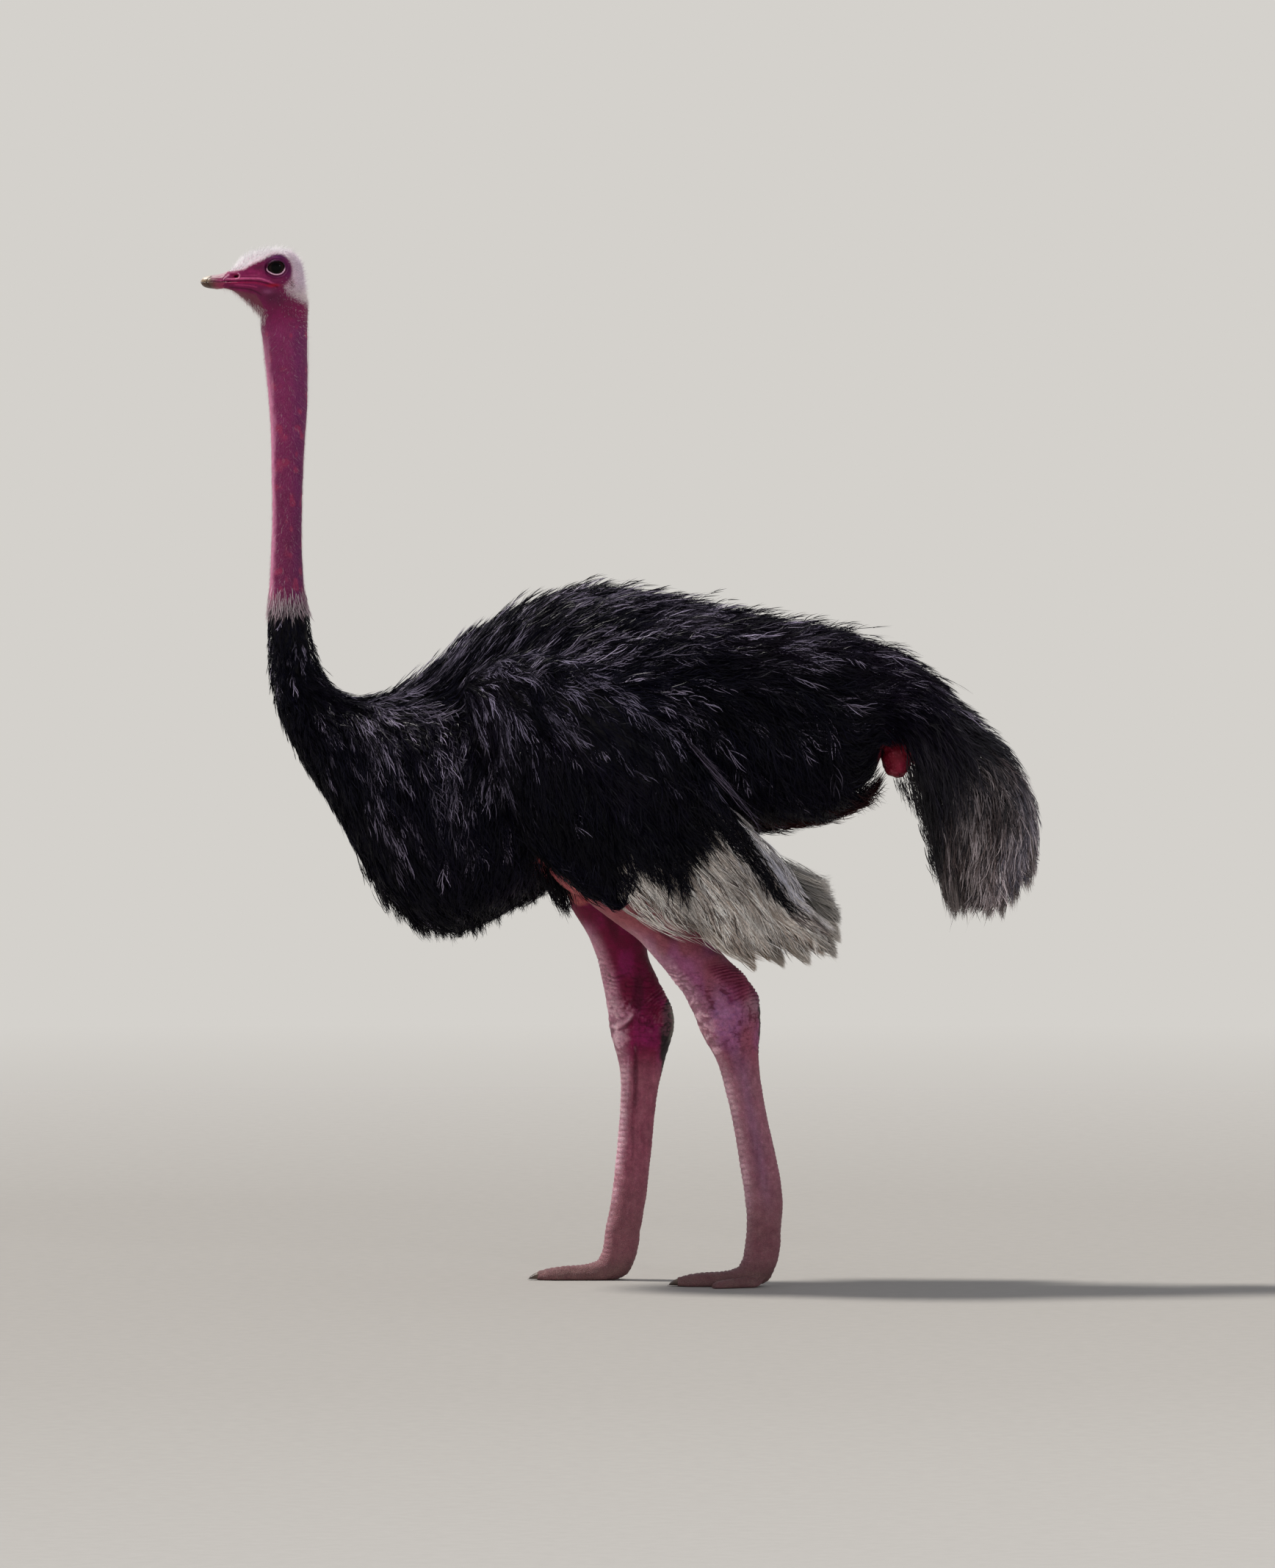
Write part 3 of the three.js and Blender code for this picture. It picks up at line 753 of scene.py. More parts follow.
LEG_SWELLINGS = {
    "right": [(-6, 532, 20, 17, 4.2), (-14, 500, 9, 7, 2.0), (92, 560, 22, 40, 2.0), (8, 596, 22, 14, 1.6)],
    "left": [(224, 600, 24, 44, 3.4), (163, 588, 9, 9, 2.4), (180, 590, 8, 7, 2.0), (200, 572, 9, 9, 2.0),
             (204, 514, 9, 10, 2.8), (186, 545, 9, 9, 1.8), (216, 540, 8, 9, 1.4)],
}
HEEL = (114, 560)


def leg_relief(name, s, turn, points):
    """How far the leg's skin stands out: creases ahead of the hock, folds behind it, swellings about
    it, scutes down the front and grooves beside the tendons. Front runs from 0 there to 0.5 behind."""
    x, z = points[..., 0], points[..., 2]
    front = 0.5 - from_top(turn)
    wander = noise(points, 26, 5)
    tarsus = ease(500, 450, z)

    def folds(along, period, sharp=0.6):
        return np.abs(np.sin(math.pi * along / period)) ** sharp - 0.6

    depth = 0.55 + 0.75 * noise(points, 21, 12)
    above_hock = ease(735, 690, z) * ease(575, 610, z)
    lift = 3.2 * folds(s + 9 * wander, 10.5) * ease(0.25, 0.10, front) * above_hock * depth
    if name == "left":
        share = ease(0.25, 0.35, front) * ease(715, 685, z) * ease(600, 630, z)
        lift += 3.0 * folds(s + 5 * wander, 8.4) * share * (0.3 + depth)
    else:
        away = np.hypot(x - HEEL[0], z - HEEL[1])
        share = ease(28, 36, away) * ease(96, 78, away) * ease(22, 42, x) * ease(552, 572, z)
        lift += 2.4 * folds(away + 6 * wander, 7.2) * share * (0.3 + depth)
    lift += bell(z - 560, 60) * 1.4 * noise(points * [1, 1, 1.6], 12, 6) * ease(0.45, 0.3, front)
    lift += tarsus * ease(0.16, 0.09, front) * 1.9 * folds(s + 2.5 * wander, 12.5, 0.5)
    lift += tarsus * ease(0.40, 0.46, front) * 1.2 * folds(s + 4 * wander, 9.0)
    lift -= tarsus * 1.0 * bell(front - 0.235, 0.04) * ease(110, 170, z) * ease(400, 300, z)
    lift += tarsus * 0.5 * np.cos(44 * front + 2 * wander) * ease(0.12, 0.18, front)
    lift -= ease(700, 780, z) * 1.8 * bell(front - 0.2 - 0.05 * np.sin(z / 90), 0.04)
    near = (z > 280) & (z < 700) & (front > 0.005)
    px, pz = x[near], z[near]
    part = drawn(px, pz, LEG_STROKES[name], 30)
    for cx, cz, rx, rz, height in LEG_SWELLINGS[name]:
        part += height * spot(px, pz, cx, cz, rx, rz)
    lift[near] += part * ease(0.0, 0.07, front[near])
    creased = ease(720, 660, z) * ease(470, 520, z) * ease(0.02, 0.07, front)
    lift -= creased * 1.3 * bell(noise(points * [1, 1, 1.5], 15, 13), 0.16)
    lift -= creased * 0.8 * bell(noise(points * [1, 1, 1.7], 7.5, 14), 0.16)
    return lift + 0.3 * noise(points, 7, 7) + 0.9 * noise(points, 34, 8) * ease(900, 600, z)


def sculpt_leg(name, points, s):
    """The leg's own forms, on the smooth leg."""
    rows, around = points.shape[:2]
    turn = np.arange(around) / around * np.ones((rows, 1))
    lift = leg_relief(name, s[:, None] * np.ones(around), turn, points)
    moved = points + grid_normals(points) * lift[..., None]
    moved[..., 2] = np.maximum(moved[..., 2], 0)
    return moved


def sculpt_neck(points, s):
    """Faint folds down the neck and wrinkles round it."""
    lift = 0.5 * noise(points * [1, 1, 0.18], 9, 9) + 0.45 * noise(points * [0.4, 0.4, 1], 5.5, 10)
    lift = lift + 0.5 * noise(points, 13, 11)
    share = ease(AXIS_NECK - 100, AXIS_NECK, s) * ease(AXIS_COLLAR + 60, AXIS_COLLAR, s)
    return points + grid_normals(points) * (lift * share[:, None])[..., None]


# ------------------------------------------------------------------ the skin

HEAD_STEP, NECK_STEP, TRUNK_STEP = 1.15, 3.0, 14.0
HEAD_END, NECK_END = AXIS_NECK + 20, AXIS_COLLAR + 50


def step_rows(low, high, step):
    return np.linspace(low, high, int((high - low) / step) + 2)


def axis_skin():
    head_s = step_rows(14, HEAD_END, HEAD_STEP)
    head = sculpt_head(axis.grid(head_s, 256, 1))
    head = sculpt_neck(head, head_s)
    neck_s = step_rows(HEAD_END, NECK_END, NECK_STEP)[1:]
    neck = sculpt_neck(axis.grid(neck_s, 128, 1), neck_s)
    trunk_s = step_rows(NECK_END, AXIS_END - 6, TRUNK_STEP)[1:]
    trunk = axis.grid(trunk_s, 64, 1)
    return make_mesh("skin", *tube([head, neck, trunk]))


def lobe_skin(name, body, low, high):
    """A coarse part of the skin that lies wholly under the plumage."""
    return make_mesh(name, *tube([body.grid(step_rows(low, high, 12), 48, 1)]))


def leg_skin(name):
    """The leg, finer about the hock, and its outer toe."""
    body = legs[name]
    along = np.linspace(0, body.end, 2000)
    heights = body.middle(along)[0][:, 2]
    top, bottom = (along[np.argmax(heights < z)] for z in (735, 470))
    upper = np.r_[step_rows(0, top, 5), step_rows(top, bottom, 1.6)[1:]]
    lower = step_rows(bottom, body.end - 1, 2.6)[1:]
    parts = [sculpt_leg(name, body.grid(s, around, 1), s) for s, around in ((upper, 176), (lower, 88))]
    toe = outer_toes[name]
    s = np.arange(0, toe.end, toe.pitch)
    outer_toe = sculpt_leg(name, toe.grid(s, toe.around, 1), s)
    return [make_mesh(f"leg_{name}", *tube(parts)), make_mesh(f"toe_{name}", *tube([outer_toe]))]


def ball_rays(rings, around):
    """Unit rays in all directions, row by row from the top down."""
    a = np.linspace(0.04, math.pi - 0.04, rings)[:, None]
    b = np.linspace(0, 2 * math.pi, around, endpoint=False)[None]
    return np.stack([np.sin(a) * np.cos(b), np.sin(a) * np.sin(b), np.cos(a) + 0 * b], -1)


# The middle of the bare flank in side view, from its upper end down to the thigh.
FLANK = [(-160, 910), (-128, 884), (-90, 849)]


def flank_fold(name, sign):
    """The bare fold of skin ahead of the thigh, under the wing's front edge."""
    ends = np.array(FLANK, float)[[0, -1]]
    middle = np.array([ends[:, 0].mean() + 8, sign * 112, ends[:, 1].mean() + 9])
    run = unit(ends[1] - ends[0])
    slant = np.array([[run[1], 0, -run[0]], [0, 1, 0], [run[0], 0, run[1]]])
    rays = ball_rays(60, 72)
    fold = middle + rays * [22, 50, 50] @ slant
    fold = fold + (rays @ slant) * 1.1 * noise(fold, 5, 24)[..., None]
    return make_mesh(f"flank_{name}", *tube([fold]))


def vent_lobe():
    """The swelling under the tail."""
    low, high = node_box("vent")
    low, high = low - [24, 22, 9], high + [0, 22, -4]
    middle, half = (low + high) / 2, (high - low) / 2
    rays = ball_rays(72, 96)
    a = np.linspace(0.04, math.pi - 0.04, 72)[:, None]
    b = np.linspace(0, 2 * math.pi, 96, endpoint=False)[None]
    size = 0.95 + 0.02 * np.sin(9 * a + 2 * np.sin(3 * b)) + 0.05 * noise(rays * 40, 14, 21)
    size = size - 0.035 * bell(noise(rays * 40, 5, 22), 0.2)
    size = size * (1 - 0.3 * ease(0.3, 1, rays[..., 2]) * np.abs(rays[..., 0]))
    return make_mesh("vent_lobe", *tube([middle + rays * half * size[..., None]]))


skin = axis_skin()
lobes = [vent_lobe(), lobe_skin("rump", tail, 0, 170)]
for name, sign in SIDES:
    lobes += leg_skin(name)
    lobes.append(flank_fold(name, sign))
    lobes.append(lobe_skin(f"wing_{name}", wings[name], 20, 560))
merge_solids(skin, lobes)


# ------------------------------------------------------------------ bill, eyes and claws


# The front edge of the nail at the bill's tip in side view, and other seams of the upper horn.
UPPER_SEAM = [(-893, 2193.5), (-900.5, 2187.5), (-903, 2181)]
LOWER_SEAM = [(-903, 2181), (-899, 2176), (-893.6, 2171)]


def bill_half(name, upper):
    """One half of the bill: slanting rows from the tip to the face, closed along the mouth."""
    swing = np.linspace(-0.25, 0.25, 49)
    away = np.abs(swing) / 0.25
    base = mix(61.0, 49.5, ease(0, 1, away)) if upper else mix(37.5, 61, ease(0, 1, away))
    tip_rows = np.linspace(0.02, 1, 14) ** 2 * 0.16
    share = np.concatenate([tip_rows, np.linspace(0.18, 0.93, 42), [0.96, 0.98, 0.992, 1.0]])
    s = share[:, None] * base
    turn = (0.0 if upper else 0.5) + swing + 0 * s
    outer = axis.read(axis.outer, s, turn)
    x, y, z = np.moveaxis(outer, -1, 0)
    if upper:
        seams = (
            (UPPER_SEAM, 0.9, -0.7),
            ([(-893.6, 2188.6), (-880, 2187.6), (-868.8, 2186.4)], 1.0, -0.7),
            ([(-891, 2193.4), (-875, 2193), (-862, 2196.5), (-853, 2200)], 1.0, -0.6),
        )
        keel = 0.7 * bell(np.abs(y), 4) * ease(-908, -900, x)
    else:
        seams = ((LOWER_SEAM, 0.9, -0.7), ([(-890, 2176), (-872, 2176.5), (-860, 2178)], 1.2, -0.5))
        keel = 0.6 * bell(np.abs(y), 4)
    proud = 0.12 - 1.7 * ease(0.955, 1.0, share)[:, None] + 0 * s
    for line, width, height in seams:
        proud += height * bell(line_distance(x, z, line, 30)[0], width)
    proud += keel + 0.16 * noise(outer, 3.0, 31)
    shell = outer + axis.read(axis.normal, s, turn) * proud[..., None]
    blunt = np.sqrt(1 - (1 - np.clip(s / 7, 0, 1)) ** 2)
    shell[..., 1] *= blunt
    shell[..., 2] = mix(2181.5, shell[..., 2], blunt)
    # Keep clear of the mouth plane, and close the half with a flat face there.
    sign = 1 if upper else -1
    line = np.interp(shell[..., 0], [-917, -868, -847], [2181.2, 2181.9, 2183.0])
    shell[..., 2] = sign * np.maximum(sign * (shell[..., 2] - line), 0.28) + line
    flat = np.linspace(0, 1, 14)[1:-1, None]
    bottom = shell[:, -1][:, None] * (1 - flat) + shell[:, 0][:, None] * flat
    return make_mesh(name, *tube([np.concatenate([shell, bottom], 1)]))


def eyeball(name, sign):
    """The front of the eye out to well under the lids, closed behind."""
    a = np.linspace(0.0, math.pi, 50)[1:-1, None]
    b = np.linspace(0, 2 * math.pi, 72, endpoint=False)[None]
    cornea = 1 + 0.035 * ease(0.75, 0.3, a)
    rays = np.stack([np.sin(a) * np.cos(b), np.cos(a) + 0 * b, np.sin(a) * np.sin(b)], -1)
    rays[..., 1] *= sign
    if sign < 0:
        rays = rays[:, ::-1]
    centre = EYE_AT * [1, sign, 1]
    points, faces = tube([centre + rays * EYE_AXES * cornea[..., None]])
    piece = make_mesh(name, points, faces)
    at = points - centre
    rho = np.hypot(at[:, 0] + 0.8, at[:, 2]) / EYE_AXES[0]
    front = at[:, 1] * sign > 0
    pupil = ease(0.47, 0.44, rho)
    white = ease(0.80, 0.86, rho)
    spokes = np.stack([np.arctan2(at[:, 2], at[:, 0]) * 9, rho * 3, 0 * rho], 1)
    fibres = 0.85 + 0.3 * noise(spokes, 1, 41)
    colour = srgb(30, 16, 14) * fibres[:, None] * mix(1.25, 0.5, ease(0.5, 0.8, rho))[:, None]
    colour = mix(colour, srgb(24, 15, 18), white[:, None])
    colour = mix(colour, srgb(3, 2, 3), pupil[:, None])
    paint(piece, np.where(front[:, None], colour, srgb(24, 15, 18)))
    return piece


def eyelid_rim(name, sign):
    """The lids' moist edge: a slim roll along the almond opening."""
    around, ring = 144, 12
    a = np.linspace(0, 2 * math.pi, around, endpoint=False)
    rho = lid_edge(a) + 0.7
    lower = ease(0.2, -0.3, np.sin(a))
    y = bulge(rho, 1.5)
    middle = np.stack([EYE_AT[0] + rho * np.cos(a), y, EYE_AT[2] + rho * np.sin(a)], 1)
    along = unit(np.roll(middle, -1, 0) - np.roll(middle, 1, 0))
    outward = unit(np.stack([np.cos(a), 0 * a, np.sin(a)], 1))
    up = unit(np.cross(along, outward))
    outward = np.cross(up, along)
    t = np.linspace(0, 2 * math.pi, ring, endpoint=False)
    size = 0.7 + 0.55 * lower
    roll = middle[:, None] + (np.cos(t)[None, :, None] * outward[:, None] * 1.25
                              + np.sin(t)[None, :, None] * up[:, None]) * size[:, None, None]
    roll[..., 1] *= sign
    if sign < 0:
        roll = roll[:, ::-1]
    i, j = np.meshgrid(np.arange(around), np.arange(ring), indexing="ij")
    here, there, beside = i * ring, (i + 1) % around * ring, (j + 1) % ring
    faces = np.stack([here + j, there + j, there + beside, here + beside], -1).reshape(-1, 4)
    piece = make_mesh(name, roll.reshape(-1, 3), [faces])
    # Pale along the lower lid; along the upper lid the roll is painted dark, as shade under the lid.
    share = np.repeat(lower, ring)[:, None]
    paint(piece, mix(srgb(40, 12, 32), srgb(234, 184, 208), share))
    return piece


def claw(name, sign):
    """The thick nail on the big toe, with its grooves."""
    low, high = node_box(f"claw_{name}")
    t = np.linspace(0, 1, 44)[:, None]
    a = np.linspace(0, 2 * math.pi, 64, endpoint=False)[None]
    reach_x = mix(high[0] - 2, low[0] - 1, t)
    half = (high[1] - low[1]) / 2 + 0.4
    width = half * np.clip(1 - t**3.2, 0.02, 1) ** 0.5 * mix(0.97, 1, t)
    top = mix(high[2] + 1.0, low[2] + 7.5, t**1.25) * np.clip(1 - t**9, 0.1, 1)
    foot = low[2] + 0.4 + 1.2 * t
    upright = np.sign(np.sin(a)) * np.abs(np.sin(a)) ** 0.8
    across = np.sign(np.cos(a)) * np.abs(np.cos(a)) ** 0.8
    ridge = 1 + 0.018 * np.sin(11 * a + 2 * t) * (1 - t) + 0.02 * bell(np.sin(a) - 1, 0.1)
    middle_y = (low[1] + high[1]) / 2 + 0.052 * sign * (reach_x - (low[0] + high[0]) / 2)
    y = middle_y + width * across * ridge
    z = mix(foot, top, (upright * ridge + 1) / 2)
    x = reach_x + 0 * a + 0.35 * np.sin(t * 34)
    points, faces = tube([np.stack([x, y, z], -1)])
    piece = make_mesh(f"nail_{name}", points, faces)
    share = (points[:, 0] - low[0]) / (high[0] - low[0])
    colour = mix(srgb(62, 48, 42), srgb(128, 104, 88), ease(0.1, 0.9, share)[:, None])
    paint(piece, colour * (1 + 0.16 * noise(points * [0.3, 2, 1], 3, 44))[:, None])
    return piece


# ------------------------------------------------------------------ colours of the skin


class Paint:
    """Colours of some places, laid over one another. Facing is a share for the strokes."""

    def __init__(self, places, base, facing=1.0, steps=40):
        self.x, _, self.z = places.T
        self.facing, self.steps = facing, steps
        self.colour = base * np.ones((len(places), 1))

    def over(self, rgb, share):
        self.colour = mix(self.colour, srgb(*rgb), np.clip(share, 0, 1)[:, None])

    def spots(self, *rows):
        """Each row is a colour, the place x and z, half the width and height, and the share."""
        for rgb, x, z, rx, rz, share in rows:
            self.over(rgb, spot(self.x, self.z, x, z, rx, rz) * share)

    def strokes(self, *rows):
        """Each row is a colour, a line in side view, its width and the share."""
        for rgb, line, width, share in rows:
            gap, along = line_distance(self.x, self.z, line, self.steps)
            ends = ease(0, 0.12, along) * ease(0, 0.12, 1 - along)
            self.over(rgb, bell(gap, width) * ends * self.facing * share)


def neck_colour(p, normal):
    """Magenta, greyer towards its lower end, purple behind, with a painted highlight on the side that faces
    forwards.
    """
    x, _, z = p.T
    neck = Paint(p, mix(srgb(140, 42, 98), srgb(120, 34, 82), ease(2000, 1560, z)[:, None]))
    neck.over((92, 30, 88), ease(-728, -700, x) * 0.55)
    neck.over((190, 60, 96), bell(noise(p * [1, 1, 0.6], 11, 56) - 0.75, 0.22) * 0.5)
    # Painted highlight: paler where the neck faces forwards.
    neck.over((224, 146, 182), ease(0.5, 0.92, -normal[:, 0]) * ease(2090, 2030, z) * 0.8)
    return neck.colour


UPPER_LIP = [(-866, 2186.5), (-835, 2188), (-803, 2188.5), (-780, 2186.5), (-750, 2175)]
JAW_FOLD = [(-858, 2169.5), (-843, 2169), (-811, 2165.5), (-791, 2158), (-780, 2150)]


def face_colour(p, normal, downy):
    """Crimson, purple over the eye and the cheek, with paler lips and a pale line under the eye, and white
    under the down; a painted highlight along the crease over the eye, and painted shade in the mouth's slit,
    the jaw's fold, the nostril, the hollow ahead of the eye and the eye's opening.
    """
    x, _, z = p.T
    facing = np.abs(normal[:, 1])
    face = Paint(p, srgb(126, 22, 78), facing)
    face.spots(
        ((84, 20, 84), -745, 2236, 36, 10, 1),
        ((96, 18, 78), -724, 2208, 12, 24, 1),
        ((150, 30, 92), -800, 2204, 24, 12, 1),
        # Painted shade: darker in the hollow ahead of the eye.
        ((92, 20, 60), -790, 2212, 14, 5, 0.7),
        ((92, 24, 62), -758, 2148, 36, 22, 1),
        ((150, 80, 122), -770, 2160, 12, 5, 0.6),
    )
    jaw = z - np.interp(x, [-870, -851, -795, -779, -770], [2172, 2167, 2155, 2130, 2100])
    face.over((116, 54, 74), ease(3, -5, jaw) * ease(-768, -784, x))
    face.strokes(
        ((196, 82, 134), UPPER_LIP, 2.0, 1),
        ((150, 16, 72), [(-866, 2179), (-811, 2180), (-787, 2177.5), (-752, 2169)], 2.4, 1),
        ((206, 90, 140), [(-850, 2183.8), (-811, 2185.6), (-790, 2184), (-772, 2179)], 1.0, 0.8),
        # Painted shade: a dark line in the groove of the jaw's fold.
        ((60, 8, 34), JAW_FOLD, 1.8, 0.75),
        ((190, 64, 116), [(-846, 2175.6), (-811, 2173.4), (-790, 2169)], 1.3, 0.7),
    )
    # Painted shade: a dark line in the slit of the mouth.
    face.over((64, 4, 28), bell(line_distance(x, z, MOUTH, 40)[0], 1.1) * facing)
    face.spots(((176, 14, 44), -757, 2174, 13, 3.4, facing), ((150, 12, 66), *NOSTRIL, 8, 4.5, 1))
    face.strokes(
        ((226, 160, 190), NOSTRIL_FLAP, 1.1, 0.85),
        ((222, 156, 184), [(-868, 2185.6), (-862, 2191), (-853, 2199)], 1.2, 0.9),
    )
    # Painted shade: near-black in the nostril's slot.
    face.over((34, 2, 14), ease(1.2, 0.7, np.hypot((x - NOSTRIL[0]) / 5.4, (z - NOSTRIL[1]) / 2.6)))
    rho, angle = np.hypot(x - EYE_AT[0], z - EYE_AT[2]), np.arctan2(z - EYE_AT[2], x - EYE_AT[0])
    edge, over = lid_edge(angle), np.sin(angle)
    face.over((70, 14, 62), bell(rho - edge - 3, 4.5) * facing * 0.85)
    # Painted highlight: a paler line along the crease over the eye.
    face.over((128, 52, 104), bell(rho - edge - 9, 1.5) * ease(-0.2, 0.3, over) * facing * 0.6)
    face.over((150, 70, 118), bell(rho - edge - 6.6, 1.0) * ease(0.1, -0.3, over) * facing * 0.6)
    # Painted shade: near-black inside the lids' edge, where the lids meet the eyeball.
    face.over((30, 8, 22), ease(edge + 0.6, edge - 0.8, rho) * facing)
    face.over((244, 214, 228), downy * (1 - ease(10, -2, over_edge(x, z)) * 0.55))
    face.over((206, 178, 196), downy * ease(-735, -700, x) * 0.8)
    face.spots(((118, 14, 60), -716, 2175, 4.5, 8, 1))
    return face.colour


def paint_skin(piece):
    p, normal = arrays(piece)
    x, y, z = p.T
    fine = noise(p, 5, 52)
    downy = down_cover(x, z)
    colour = mix(neck_colour(p, normal), face_colour(p, normal, downy), ease(2060, 2120, z)[:, None])
    # Under the plumage the skin is painted near-black as painted shade, so gaps in the coat look dark; there
    # is bare skin on the legs, on the flanks and about the vent.
    collar = 1478 + 10 * noise(p, 16, 53)
    covered = ease(collar + 12, collar - 12, z)
    colour = mix(colour, srgb(16, 13, 18), covered[:, None])
    beside = (np.abs(y) > 35) * (np.abs(y) < 185)
    leg_bare = ease(905, 880, z) * ((x > -130) | (z < 300)) * (x < 370) * beside
    for name, sign in SIDES:
        own = np.flatnonzero((leg_bare > 0) & (y * sign > 0))
        colour[own] = mix(colour[own], leg_colour(name, p[own], fine[own]), leg_bare[own, None])
    bare_flank = ease(30, 24, line_distance(x, z, FLANK, 12)[0]) * (np.abs(y) > 50) * (z < 940)
    vent_at = np.hypot((x - 600) / 42, np.hypot(y / 64, (z - 1146) / 60))
    bare_vent = ease(1.2, 1.0, vent_at)
    rest = Paint(p, colour)
    rest.over((220, 122, 124), bare_flank)
    rest.over((172, 54, 76), bare_flank * ease(0.0, 0.6, noise(p, 4, 64)) * 0.75)
    rest.over((118, 14, 36), bare_vent)
    # Painted light on the vent: a paler patch on its rear side, and pale flecks as painted highlights on its
    # granules.
    rest.spots(((178, 52, 82), 610, 1124, 15, 18, bare_vent * 0.7))
    rest.over((206, 96, 120), bare_vent * ease(0.2, 0.7, noise(p, 3.5, 63)) * 0.35)
    colour = rest.colour * (1 + 0.10 * noise(p, 22, 51) + 0.08 * fine)[:, None]
    paint(piece, np.clip(colour, 0, 1))
    # Red: scales of the legs. Green: pale pimples of the neck, stronger on the side that faces forwards as a
    # painted highlight. Blue: smooth, moist skin.
    kind = np.zeros((len(p), 3))
    kind[:, 0] = np.maximum(leg_bare * mix(0.45, 1, ease(540, 440, z)), bare_flank)
    kind[:, 1] = ease(2110, 2050, z) * (1 - covered) * mix(0.4, 1, ease(0.35, 0.8, -normal[:, 0]))
    kind[:, 2] = ease(2070, 2130, z) * (1 - downy)
    paint(piece, kind, "Kind")


def leg_colour(name, p, fine):
    """Magenta thighs and hocks, mauve shanks and the heel's callus, with painted light: highlights on ridges
    and the front edges, and shade in creases and grooves.
    """
    z = p[:, 2]
    s, turn = legs[name].where(p)
    front = 0.5 - from_top(turn)
    relief = leg_relief(name, s, turn, p) * ease(60, 90, z)
    wander = noise(p, 9, 61)
    patchy = ease(-0.4, 0.5, noise(p * [1, 1, 0.5], 26, 57))[:, None]
    if name == "right":
        tint = Paint(p, mix(srgb(122, 12, 60), srgb(142, 26, 90), patchy), steps=30)
        # Painted shade: darker on the rear of the thigh.
        tint.over((84, 6, 40), ease(0.3, 0.46, front) * ease(600, 700, z) * 0.7)
        # Painted highlight: paler down the front above the hock.
        tint.over((206, 132, 160), ease(0.19, 0.05, front) * ease(770, 710, z) * ease(555, 590, z) * 0.75)
        rough = ease(-0.3, 0.5, noise(p, 5, 60))
        tint.spots(
            # Painted shade: dark along the groove above the hock.
            ((92, 6, 62), 36, 625, 11, 42, 0.8),
            ((150, 34, 96), -4, 534, 24, 20, 0.7),
            # Painted highlight: a pale patch on the front of the hock, broken up by noise.
            ((232, 160, 196), 4, 592, 20, 17, rough * 0.8),
        )
        # Painted highlight along the fold across the hock.
        tint.strokes(((244, 190, 214), [(24, 590), (12, 572), (-6, 562), (-28, 551)], 4.5, 0.85))
        tint.over((164, 92, 112), ease(520, 430, z))
        tint.strokes(
            # Painted shade in the groove down the tarsus, and a painted highlight on the ridge beside it.
            ((66, 18, 40), [(30, 530), (30, 470), (29, 420), (27, 370)], 5, 0.6),
            ((188, 120, 150), [(14, 500), (13, 440), (12, 380)], 1.8, 0.6),
        )
        callus = np.interp(z, [430, 470, 500, 550, 600, 622], [0.5, 0.44, 0.39, 0.37, 0.41, 0.5])
    else:
        tint = Paint(p, mix(srgb(150, 78, 98), srgb(154, 84, 124), patchy), steps=30)
        tint.over((158, 84, 94), ease(720, 800, z))
        tint.over((126, 44, 92), ease(0.2, 0.08, front) * ease(720, 680, z) * ease(560, 600, z) * 0.7)
        # Painted sheen: a bluish mauve patch on the swelling of the hock.
        tint.spots(((150, 104, 156), 222, 600, 30, 52, 0.85))
        tint.over((118, 20, 64), ease(0.27, 0.36, front) * ease(712, 690, z) * ease(612, 634, z) * 0.7)
        hollows = ((163, 588), (180, 590), (204, 514), (196, 545), (186, 560))
        tint.spots(
            # Painted shade: dark in the groove above the hock.
            ((104, 16, 60), 236, 624, 12, 14, 0.8),
            *(((132, 22, 66), *hollow, 10, 10, 0.75) for hollow in hollows),
            ((158, 124, 138), 286, 612, 18, 24, 0.7),
        )
        tint.over((166, 108, 124), ease(520, 430, z))
        tendon = bell(front - 0.27 - 0.03 * noise(p * [1, 1, 0.2], 30, 58), 0.08)
        tint.over((140, 98, 136), tendon * ease(560, 480, z) * ease(120, 220, z) * 0.5)
        callus = np.interp(z, [480, 530, 600, 640], [0.5, 0.465, 0.45, 0.5])
    tint.over((34, 28, 32), ease(-0.012, 0.022, front - callus - 0.012 * wander))
    if name == "right":
        tint.over((118, 116, 106), ease(0.43, 0.47, front) * ease(610, 596, z) * ease(515, 540, z) * 0.9)
    tint.colour *= (1 + 0.14 * noise(p * [1, 1, 0.07], 5, 59) * ease(520, 460, z))[:, None]
    # Painted highlight on raised skin, and below it painted shade in the creases.
    tint.over((190, 116, 142), ease(0.3, 1.8, relief) * (0.3 + 0.35 * ease(0.2, 0.1, front)))
    crease = 0.25 + 0.5 * ease(500, 560, z) + 0.35 * ease(0.14, 0.08, front)
    tint.over((86, 10, 42), ease(-0.3, -1.8, relief) * crease)
    lit = ease(0.17, 0.06, front) * ease(800, 740, z)
    tint.over((246, 200, 216), lit * (0.28 + 0.6 * ease(-0.4, 1.2, relief)))
    tint.colour *= (1 + 0.13 * noise(p, 3.2, 62) + 0.1 * fine)[:, None]
    # Painted highlights: pale specks on the scales down the front of the tarsus.
    highlight_specks = bell(noise(p * [1, 1, 0.8], 3.4, 55) - 0.7, 0.16)
    tint.over((214, 168, 178), highlight_specks * 0.35 * ease(560, 480, z) * ease(0.24, 0.12, front))
    tint.over((138, 92, 98), ease(300, 110, z) * 0.7)
    tint.over((112, 88, 84), ease(70, 20, z) * 0.7)
    return tint.colour


